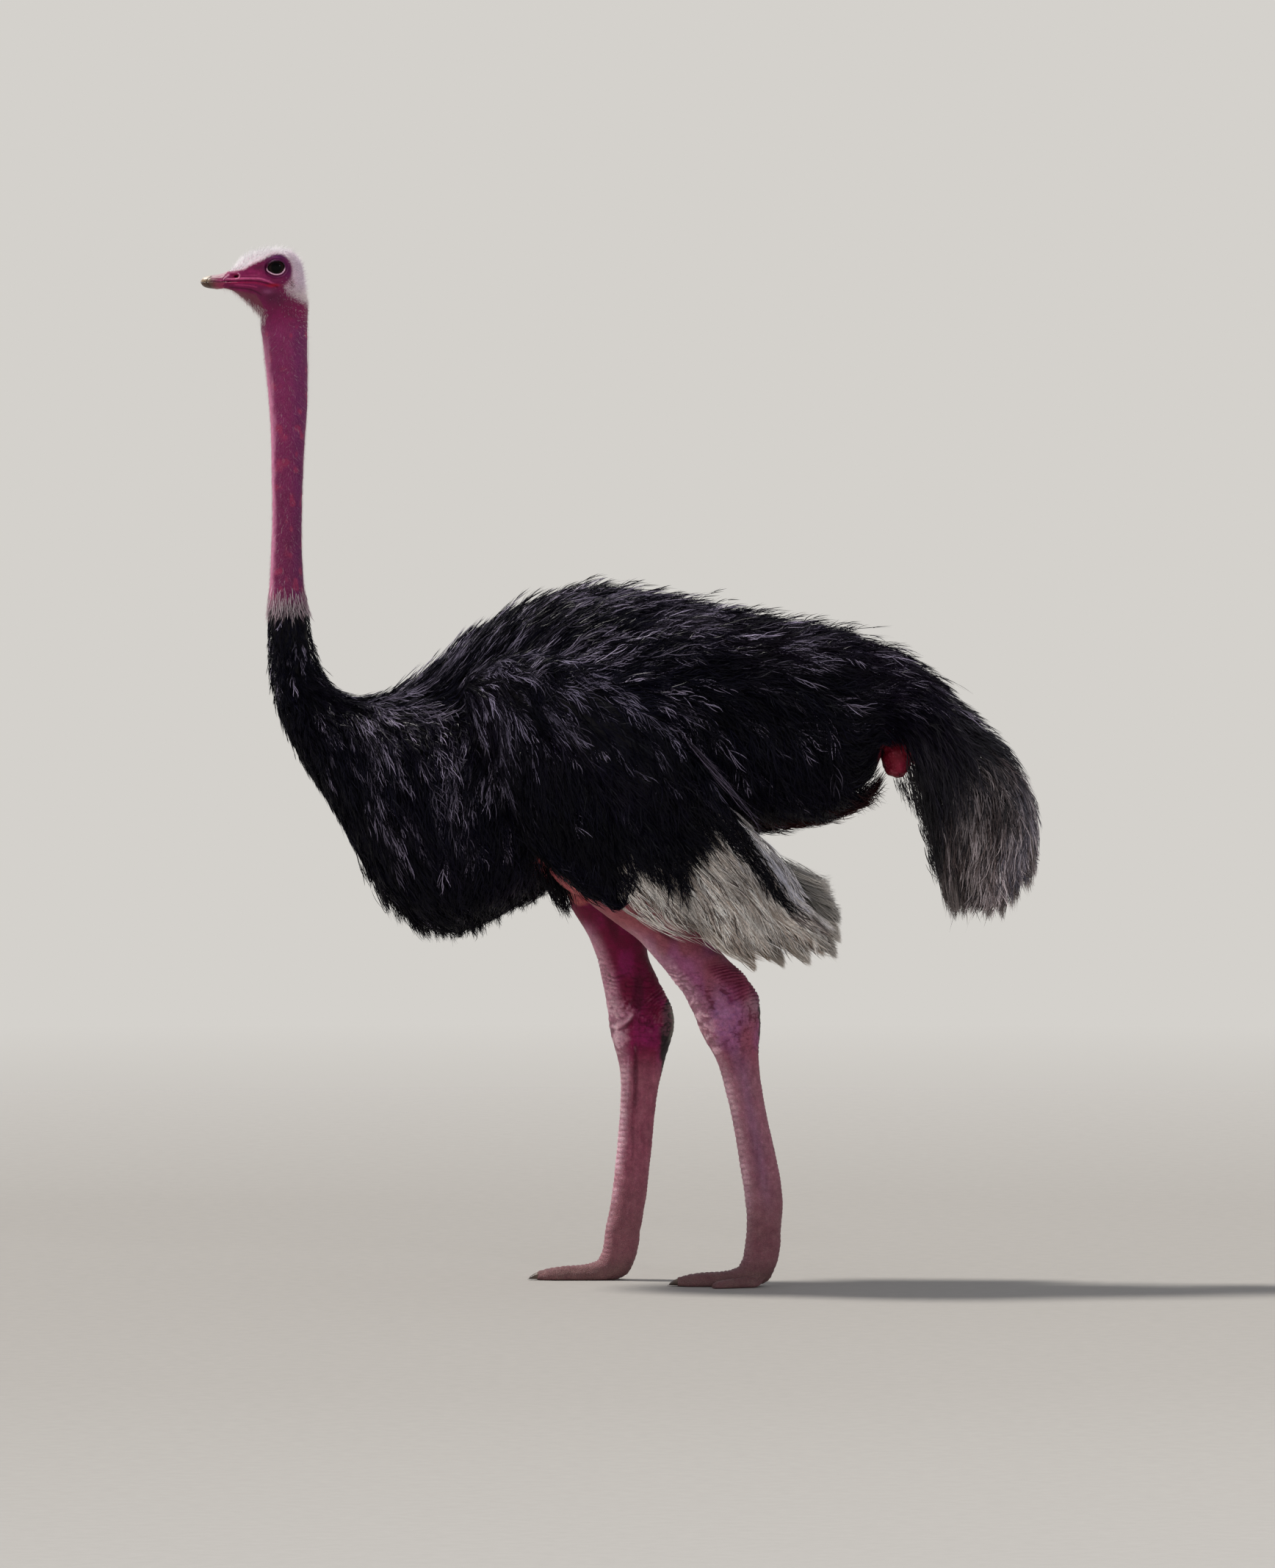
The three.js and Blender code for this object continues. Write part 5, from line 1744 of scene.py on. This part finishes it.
def plumage_of_wing(name, material):
    """The wing's lower edge and inner side, where it hangs clear of the trunk."""
    body = wings[name]
    coat = Coat(body)
    x, z = body.outer[..., 0], body.outer[..., 2]
    thick = 0.45 + 0.55 * ease(1100, 980, z) + 0.5 * ease(-120, -230, x)
    density = ease(-20, 30, covert(x, z)) * thick * ease(0, 14, body.s)[:, None]
    s, turn, place = seeds(body, density, ON_WING)
    n = len(s)
    upward = body.read(body.normal, s, turn)[:, 2]
    length = np.interp(s, [0, 150, 400], [55, 84, 92]) * np.exp(rng.normal(0, 0.2, n))
    high = 0.9 + rng.normal(0, 0.1, n)
    high = high + ease(-0.2, -0.9, upward) * rng.uniform(0, 1.1, n)
    # Painted shade: darker towards the wing's lower part.
    root = black(place) * mix(0.6, 1, ease(1050, 1200, place[:, 2]))[:, None]
    # Painted highlight: pale tips on some feathers of the wing's upper part.
    lit = painted_glints(place, upward, locks(body, s, turn, 36)[2])
    tip = mix(root * 1.3, srgb(186, 176, 208), lit * ease(1080, 1220, place[:, 2])[:, None])

    def keep(paths, whole):
        px, pz = paths[:, -1, 0], paths[:, -1, 2]
        return (covert(px, pz) > 12 * whole) & (over_flank(px, pz) > -4 * whole)

    width, low = np.full(n, 1.8 * COAT_WIDTH), np.full(n, 0.2)
    # Painted shade: each feather darker at its root than at its tip.
    coat.tufts(s, turn, length, width, low, high, root * 0.6, tip, mess=0.7, lock=36, keep=keep)
    return coat.make(f"plumage_wing_{name}", material, "plumage", f"wing_{name}")


def plumes_of_wing(name, material):
    """Long pale plumes below the wing's black coverts, and the shafts along its rear edge."""
    body = wings[name]
    coat = Coat(body)
    x, z = body.outer[..., 0], body.outer[..., 2]
    sign = dict(SIDES)[name]
    density = ease(150, 60, covert(x, z)) * (0.35 + 0.65 * ease(-0.5, 0.2, sign * body.normal[..., 1]))
    density = density * ease(-60, -10, x) * ease(1130, 1080, z)
    s, turn, place = seeds(body, density, PLUMES)
    n = len(s)
    px, pz = place[:, 0], place[:, 2]
    _, _, whole = locks(body, s, turn, 46)
    wander = 7 * noise(place, 40, 85)
    painted_sheen_line = [(180, 1130), (270, 1020), (350, 930), (430, 850), (470, 790)]
    rear, _ = line_distance(px + wander, pz, painted_sheen_line, 20)
    tone = np.exp(rng.normal(0, 0.16, n) + 0.42 * whole)[:, None]
    kinds = (0.56, (242, 234, 228)), (0.8, (182, 168, 158)), (1, (92, 78, 74))
    pale = lots(rng.random(n), kinds) * tone
    # Painted sheen: bluish white strands along the wing's rear edge.
    pale = mix(pale, srgb(222, 222, 242), (bell(rear, 34) * rng.random(n))[:, None])
    pale = mix(pale, srgb(150, 118, 84), (0.7 * ease(800, 720, pz) * rng.random(n))[:, None])
    high = rng.uniform(0.3, 0.85, n)
    high = high + ease(-0.2, -0.9, body.read(body.normal, s, turn)[:, 2]) * rng.uniform(0, 0.9, n)
    last = body.end - 4 + rng.normal(0, 8, n)

    def keep(paths, whole):
        """Below the coverts and inside the plumes' own outline, which ends sooner on the right."""
        px, pz = paths[:, -1, 0], paths[:, -1, 2]
        rise = mix(6, 20, ease(150, 220, px)) - mix(6, 14, ease(150, 220, px)) * whole
        inside = (pz > along_line(px, PLUME_EDGE) + rise) & (px < 474)
        inside &= pz < along_line(px, PLUME_REAR) + 10 * whole - 7 - 7 * sign
        return inside & (covert(px, pz) < 10 - 14 * whole)

    length, width = rng.uniform(80, 150, n), rng.uniform(1.0, 1.7, n) * COAT_WIDTH
    low = np.full(n, 0.05)
    # Painted shade: each plume far darker at its root than at its tip, so the gaps between locks look deep.
    coat.tufts(s, turn, length, width, low, high, pale * 0.24, pale, barbs=9, splay=15, barb=0.42, curl=0.16,
               mess=0.5, limit=last, lock=46, together=0.98, keep=keep)
    for x, z, brown in PLUME_TIPS:
        if sign > 0 and z > 780:
            continue
        colour = mix(srgb(214, 208, 202), srgb(158, 126, 92), brown) * rng.uniform(0.6, 1.1)
        ends = []
        for side in (-1.3, -0.3, 0.8):
            ends.append((x, sign * (206 + 14 * side + rng.normal(0, 4)), z + 9 * abs(side)))
        flow = (0.75, 0.02 * sign, -0.66 - 0.5 * brown) if z < 800 else (0.85, 0.02 * sign, -0.5)
        # Painted shade: the hanging locks darker at their roots.
        coat.hang(ends, flow, 112, 7, 80, 1.5, colour * 0.4, colour, 2.4)
    shafts = ((214, 251, 1098), (262, 243, 1040), (306, 236, 990), (238, 248, 1066))
    shafts = [(x, sign * y, z) for x, y, z in shafts]
    coat.hang(shafts, (0.62, 0.02 * sign, -0.78), 150, 1.2, 6, 1.5, srgb(40, 32, 46), srgb(112, 100, 124), 4)
    return coat.make(f"plumes_wing_{name}", material, "pale_plumes", f"wing_plumes_{name}")


def plumage_of_tail(material):
    """Black over its root and edge, and long grey-brown locks below."""
    coat = Coat(mantle)
    x, _, z = np.moveaxis(mantle.outer, -1, 0)
    s_grid = mantle.s[:, None] + 0 * x
    density = ease(AXIS_END - 40, AXIS_END + 40, s_grid) * (on_vent(x, z) > 1)
    density = density * mix(1, 1.25, ease(AXIS_END + 200, AXIS_END + 320, s_grid))
    s, turn, place = seeds(mantle, density, ON_TAIL)
    n = len(s)
    px, pz = place[:, 0], place[:, 2]
    _, _, whole = locks(mantle, s, turn, 34)
    below = pz - (1066 + 0.75 * (px - 635)) + 30 * noise(place * [1, 1, 0.4], 34, 91) + 34 * whole
    grey = ease(40, -50, below) * (1 - 0.75 * ease(705, 640, px) * ease(860, 930, pz))
    length = mix(105, 170, grey) * np.exp(rng.normal(0, 0.18, n))
    high = np.where(rng.random(n) < 0.5, rng.uniform(0.3, 0.9, n), rng.uniform(0.85, 1.06, n))
    short = np.interp(from_top(turn), [0, 0.15, 0.25, 0.4, 0.5], [62, 40, 8, 24, 38])
    last = mantle.end - short + rng.normal(0, 8, n)
    kinds = (0.36, (204, 190, 193)), (0.72, (114, 99, 98)), (1, (34, 27, 31))
    streak = lots(rng.random(n), kinds) * np.exp(rng.normal(0, 0.2, n) + 0.5 * whole)[:, None]
    # Painted light: bluish white strands towards the tail's rear, where light catches it.
    streak = mix(streak, srgb(176, 172, 196), (0.5 * ease(800, 880, px) * rng.random(n))[:, None])
    streak = mix(streak, srgb(150, 112, 84), (0.5 * ease(880, 800, pz) * rng.random(n))[:, None])
    root = black(place, 0.3)
    # Painted shade: the feathers darker at their roots than at their tips.
    base = mix(root * 0.7, streak * 0.3, grey[:, None])
    tip = mix(root * 1.4, streak, grey[:, None])

    def keep(paths, whole):
        clear = (on_vent(paths[..., 0], paths[..., 2]) > 1).all(1)
        return clear & (paths[:, -1, 2] > along_line(paths[:, -1, 0], TAIL_EDGE) + 16 - 14 * whole)

    width, low = np.full(n, 1.9 * COAT_WIDTH), np.zeros(n)
    coat.tufts(s, turn, length, width, low, high, base, tip, splay=22, barb=0.4, mess=0.8, limit=last,
               lock=34, together=0.85, keep=keep)
    # The hanging locks are painted darker at their roots than at their tips, as shade.
    for x, z, y in TAIL_FRONT:
        ends = [(x + rng.normal(0, 5), side * y, z + rng.normal(0, 7)) for side in (-1, 1)]
        coat.hang(ends, (0.2, 0, -1), 80, 8, 44, 1.5, srgb(9, 8, 15), srgb(30, 23, 27), 6)
    for x, z, y in TAIL_TIPS:
        ends = []
        for side in (-1, -0.4, 0.3, 1):
            ends.append((x + rng.normal(0, 5), side * y + rng.normal(0, 6), z + rng.normal(0, 7)))
        colour = mix(srgb(170, 158, 156), srgb(58, 48, 48), rng.random())
        flow = (np.interp(x, [700, 800, 910], [0.06, 0.04, 0.14]), 0, -1)
        # Painted shade: these locks darker at their roots.
        coat.hang(ends, flow, 125, 6, 50, 1.6, colour * 0.4, colour, 4)
    return coat.make("plumage_tail", material, "plumage", "tail")


def down_of_head(material):
    """White down from the brow to the nape, a thin fringe under the chin, stubble on the brow, lashes."""
    coat = Coat(axis)
    x, _, z = np.moveaxis(axis.outer, -1, 0)
    turn_grid = np.arange(axis.around) / axis.around + 0 * x
    chin = ease(0.40, 0.47, from_top(turn_grid)) * ease(-892, -872, x) * ease(2060, 2110, z) * 0.35
    nape = 0.3 * ease(0.22, 0.1, from_top(turn_grid)) * ease(2020, 2110, z) * ease(-730, -712, x)
    on_head = (x < -600) * (z > 2000)
    cheek = ease(-52, -8, over_edge(x, z)) * ease(-785, -750, x) * ease(2196, 2172, z) * ease(2080, 2110, z)
    cells = np.maximum(down_cover(x, z), chin) * on_head
    # Each layer's strands to the square metre, length, height, whiteness, twist and where it grows.
    layers = (
        (420000, 9, 0.6, 1.1, 0.45, cells),
        (120000, 13, 1.1, 1.15, 0.9, cells),
        (36000, 16, 1.8, 1.1, 1.3, cells),
        (50000, 12, 1.2, 1.0, 1.3, nape * on_head),
        (17000, 14, 2.2, 1.25, 1.1, chin * on_head),
        (26000, 7, 0.9, 0.7, 1.0, cheek * on_head),
    )
    for count, long, high, white, twist, where in layers:
        s, turn, place = seeds(axis, where, count)
        n = len(s)
        here = down_share(place[:, 0], place[:, 2], turn)
        size = long * rng.uniform(0.6, 1.2, n) * mix(0.55, 1, here)
        bend = rng.normal(0, 0.55, n)
        top = high * rng.uniform(0.7, 1.1, n)
        paths, ts, tt = comb(axis, s, turn, size * 0.6, 3, lambda t: bend, 0 * s, top, 1.0)
        lift = (1 - here) * size * 0.45
        paths[:, 1:] += axis.read(axis.normal, ts, tt)[:, 1:] * (lift[:, None] * [0.5, 1.0])[..., None]
        colour = mix(srgb(255, 244, 249), srgb(240, 228, 238), ease(-745, -700, place[:, 0])[:, None])
        colour = mix(srgb(240, 230, 230), colour, ease(2150, 2190, place[:, 2])[:, None]) * white
        # Painted shade: strands a little darker at their roots.
        coat.strands(paths, ts, tt, rng.uniform(0.35, 0.62, n) * COAT_WIDTH, colour * 0.95, colour, twist)
    brow = bell(over_edge(x, z) - 1, 3.5) * ease(-835, -800, x) * ease(2206, 2214, z) * on_head
    s, turn, _ = seeds(axis, brow, 30000)
    n = len(s)
    bend = rng.normal(0, 0.7, n)
    size = rng.uniform(1.5, 3.5, n)
    paths, ts, tt = comb(axis, s, turn, size, 3, lambda t: bend, np.full(n, 0.9), np.full(n, 1.1))
    paths += axis.read(axis.normal, ts, tt) * [[[0.2], [1.2], [2.0]]]
    dark = srgb(58, 22, 48) * np.ones((n, 1))
    coat.strands(paths, ts, tt, np.full(n, 0.45), dark, dark, 1.0)
    lashes = 46
    for side in (-1, 1):
        angle = np.radians(np.linspace(38, 158, lashes)) + rng.normal(0, 0.02, lashes)
        out = np.stack([np.cos(angle), 0 * angle, np.sin(angle)], 1)
        rho = lid_edge(angle)[:, None] + 0.6
        root = EYE_AT * [1, 0, 1] + out * rho
        root[:, 1] = side * bulge(rho[:, 0], 2.2)
        long = rng.uniform(5, 8, (lashes, 1))
        tip = root + out * long * 0.55 + np.array([-0.35, side * 0.75, -0.1]) * long
        paths = np.stack([root, mix(root, tip, 0.5) + [0, side * 0.9, -0.8], tip], 1)
        s, turn = axis.nearest(root)
        ink = srgb(16, 8, 14) * np.ones((lashes, 1))
        coat.strands(paths, repeated(s, 3), repeated(turn, 3), np.full(lashes, 0.55), ink, ink, 0.3)
    return coat.make("down_head", material, "pale_plumes")


def down_of_neck(material):
    """Short fine hairs over the bare neck, and the ring of white feathers that ends it."""
    coat = Coat(axis)
    s_grid = axis.s[:, None] + 0 * axis.outer[..., 0]
    density = ease(AXIS_NECK - 90, AXIS_NECK, s_grid) * ease(AXIS_COLLAR + 10, AXIS_COLLAR - 10, s_grid)
    # Short hairs and long ones: how many to the square metre, their lengths, rise and two colours.
    hairs = (
        (110000, 3, 7, 1.2, (150, 60, 108), (190, 116, 154)),
        (9000, 6, 11, 3.2, (214, 170, 196), (250, 236, 242)),
    )
    for count, least, most, rise, first, second in hairs:
        s, turn, _ = seeds(axis, density, count)
        n = len(s)
        bend = rng.normal(0, 0.35, n)
        size = rng.uniform(least, most, n)
        top = rise * rng.uniform(0.5, 1.2, n)
        paths, ts, tt = comb(axis, s, turn, size, 3, lambda t: bend, 0 * s, top, 1.0)
        colour = mix(srgb(*first), srgb(*second), rng.random(n)[:, None])
        # Painted shade: hairs a little darker at their roots.
        coat.strands(paths, ts, tt, rng.uniform(0.18, 0.3, n) * COAT_WIDTH, colour * 0.9, colour, 1.2)

    ring = ease(AXIS_COLLAR - 52, AXIS_COLLAR - 16, s_grid) * ease(AXIS_COLLAR + 16, AXIS_COLLAR - 2, s_grid)
    s, turn, _ = seeds(axis, ring, 52000)
    n = len(s)
    length = rng.uniform(16, 36, n)
    colour = mix(srgb(226, 212, 216), srgb(186, 150, 166), rng.random(n)[:, None])
    top = rng.uniform(0.9, 2.2, n)
    paths, ts, tt = comb(axis, s, turn, length, 4, lambda t: rng.normal(0, 0.16, n), np.full(n, 0.2), top)
    # Painted shade: the collar's feathers darker at their roots.
    coat.strands(paths, ts, tt, rng.uniform(0.8, 1.4, n) * COAT_WIDTH, colour * 0.8, colour, 0.8)
    return coat.make("down_neck", material, "pale_plumes")


# ------------------------------------------------------------------ putting it together

paint_skin(skin)
FLESH = [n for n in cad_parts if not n.startswith(("bill", "eye", "claw"))]
dress(skin, skin_material(), "skin", *FLESH)

horn = horn_material("horn", 900)
for name, upper in (("bill_upper", True), ("bill_lower", False)):
    piece = bill_half(f"{name}_horn", upper)
    paint_bill(piece, upper)
    dress(piece, horn, "horn", name)
nail = horn_material("nail", 500)
eye = eye_material()
rim = Material("lid_edge", Specular_IOR_Level=0.5, Subsurface_Weight=0.1, Subsurface_Scale=0.002)
rim_tint = rim.scaled(rim.attribute("Tint"), rim.ramp(rim.noise(600), 0.3, 0.7, 0.8, 1.2))
rim = rim.finish(rim_tint, 0.35)
for name, sign in SIDES:
    dress(eyeball(f"eyeball_{name}", sign), eye, "eye", f"eye_{name}")
    dress(eyelid_rim(f"lid_edge_{name}", sign), rim, "skin")
    dress(claw(name, sign), nail, "horn", f"claw_{name}")

plumage = feather_material("black_plumage", 0.36, 0.0, 0.09)
pale = feather_material("pale_plumes", 0.6, 0.2, 0.4)
down = feather_material("white_down", 0.6, 0.3, 0.4)
plumage_of_trunk(plumage)
for name, _ in SIDES:
    plumage_of_wing(name, plumage)
    plumes_of_wing(name, pale)
plumage_of_tail(pale)
down_of_head(down)
down_of_neck(down)

# ------------------------------------------------------------------ floor, lights and camera


def floor_disc():
    """A wide round floor that fades out towards its rim."""
    rings = np.concatenate([np.linspace(0.02, 3, 16), np.linspace(3.5, 14, 16)]) * 1000
    around = 96
    a = np.linspace(0, 2 * math.pi, around, endpoint=False)
    points = np.stack([np.outer(rings, np.cos(a)), np.outer(rings, np.sin(a)), np.outer(0 * rings, a)], -1)
    faces = [ring_faces(len(rings), around), np.arange(around)[None]]
    piece = make_mesh("floor", points.reshape(-1, 3), faces)
    m = Material("floor", Specular_IOR_Level=0.1)
    far = m.add("VectorMath", {0: m.place}, operation="LENGTH").outputs["Value"]
    grain = m.noise(30, 4)
    clear = m.add("BsdfTransparent")
    mixed = m.add("MixShader", {0: m.ramp(far, 3.0, 12.0)})
    m.tree.links.new(m.shader.outputs[0], mixed.inputs[1])
    m.tree.links.new(clear.outputs[0], mixed.inputs[2])
    out = next(n for n in m.tree.nodes if n.type == "OUTPUT_MATERIAL")
    m.tree.links.new(mixed.outputs[0], out.inputs["Surface"])
    tint = m.scaled((*srgb(172, 169, 165), 1), m.ramp(grain, 0.3, 0.7, 0.97, 1.03))
    piece.data.materials.append(m.finish(tint, 0.85))


def add_light(name, kind, place, aim, colour, **settings):
    """A light at a place, shining along aim."""
    light = bpy.data.lights.new(name, kind)
    light.color = colour
    for key, value in settings.items():
        setattr(light, key, value)
    lamp = bpy.data.objects.new(name, light)
    lamp.location = place
    lamp.rotation_euler = Vector(aim).to_track_quat("-Z", "Y").to_euler()
    bpy.context.scene.collection.objects.link(lamp)


def studio_walls(low, high):
    """Light from all round: pale up to a little above the floor, and softer overhead."""
    world = bpy.data.worlds.new("studio")
    bpy.context.scene.world = world
    world.use_nodes = True
    tree = world.node_tree
    place = tree.nodes.new("ShaderNodeTexCoord").outputs["Generated"]
    apart = tree.nodes.new("ShaderNodeSeparateXYZ")
    tree.links.new(place, apart.inputs[0])
    ramp = tree.nodes.new("ShaderNodeMapRange")
    ramp.interpolation_type = "SMOOTHSTEP"
    ramp.inputs["From Min"].default_value, ramp.inputs["From Max"].default_value = 0.12, 0.42
    tree.links.new(apart.outputs["Z"], ramp.inputs["Value"])
    mixed = tree.nodes.new("ShaderNodeMix")
    mixed.data_type = "RGBA"
    mixed.inputs[6].default_value, mixed.inputs[7].default_value = (*low, 1), (*high, 1)
    tree.links.new(ramp.outputs["Result"], mixed.inputs[0])
    tree.links.new(mixed.outputs[2], tree.nodes["Background"].inputs["Color"])


floor_disc()
scene = bpy.context.scene
scene.view_settings.view_transform = "Standard"
studio_walls(srgb(212, 209, 204), srgb(158, 159, 164))
sun = dict(angle=math.radians(9), energy=3.2)
add_light("key", "SUN", (0, 0, 0), (0.54, -0.16, -0.83), (1.0, 0.96, 0.9), **sun)
lamp_at, lamp_target = Vector((2.4, -6.0, 4.4)), Vector((0, 0, 1.2))
lamp = dict(shape="DISK", size=0.7, energy=40)
add_light("fill", "AREA", lamp_at, lamp_target - lamp_at, (0.95, 0.97, 1.0), **lamp)

CAMERA_AIM = Vector((0.034, 0, 1.089))
CAMERA_DISTANCE, CAMERA_RISE, FRAME_HEIGHT = 25.0, math.radians(1.5), 3.416
camera = bpy.data.cameras.new("camera")
camera.sensor_fit = "VERTICAL"
camera.sensor_height = 36
camera.lens = 36 * CAMERA_DISTANCE / FRAME_HEIGHT
camera.clip_end = 200
eye_point = bpy.data.objects.new("camera", camera)
eye_point.location = CAMERA_AIM + CAMERA_DISTANCE * Vector((0, -math.cos(CAMERA_RISE), math.sin(CAMERA_RISE)))
eye_point.rotation_euler = (CAMERA_AIM - eye_point.location).to_track_quat("-Z", "Y").to_euler()
scene.collection.objects.link(eye_point)
scene.camera = eye_point
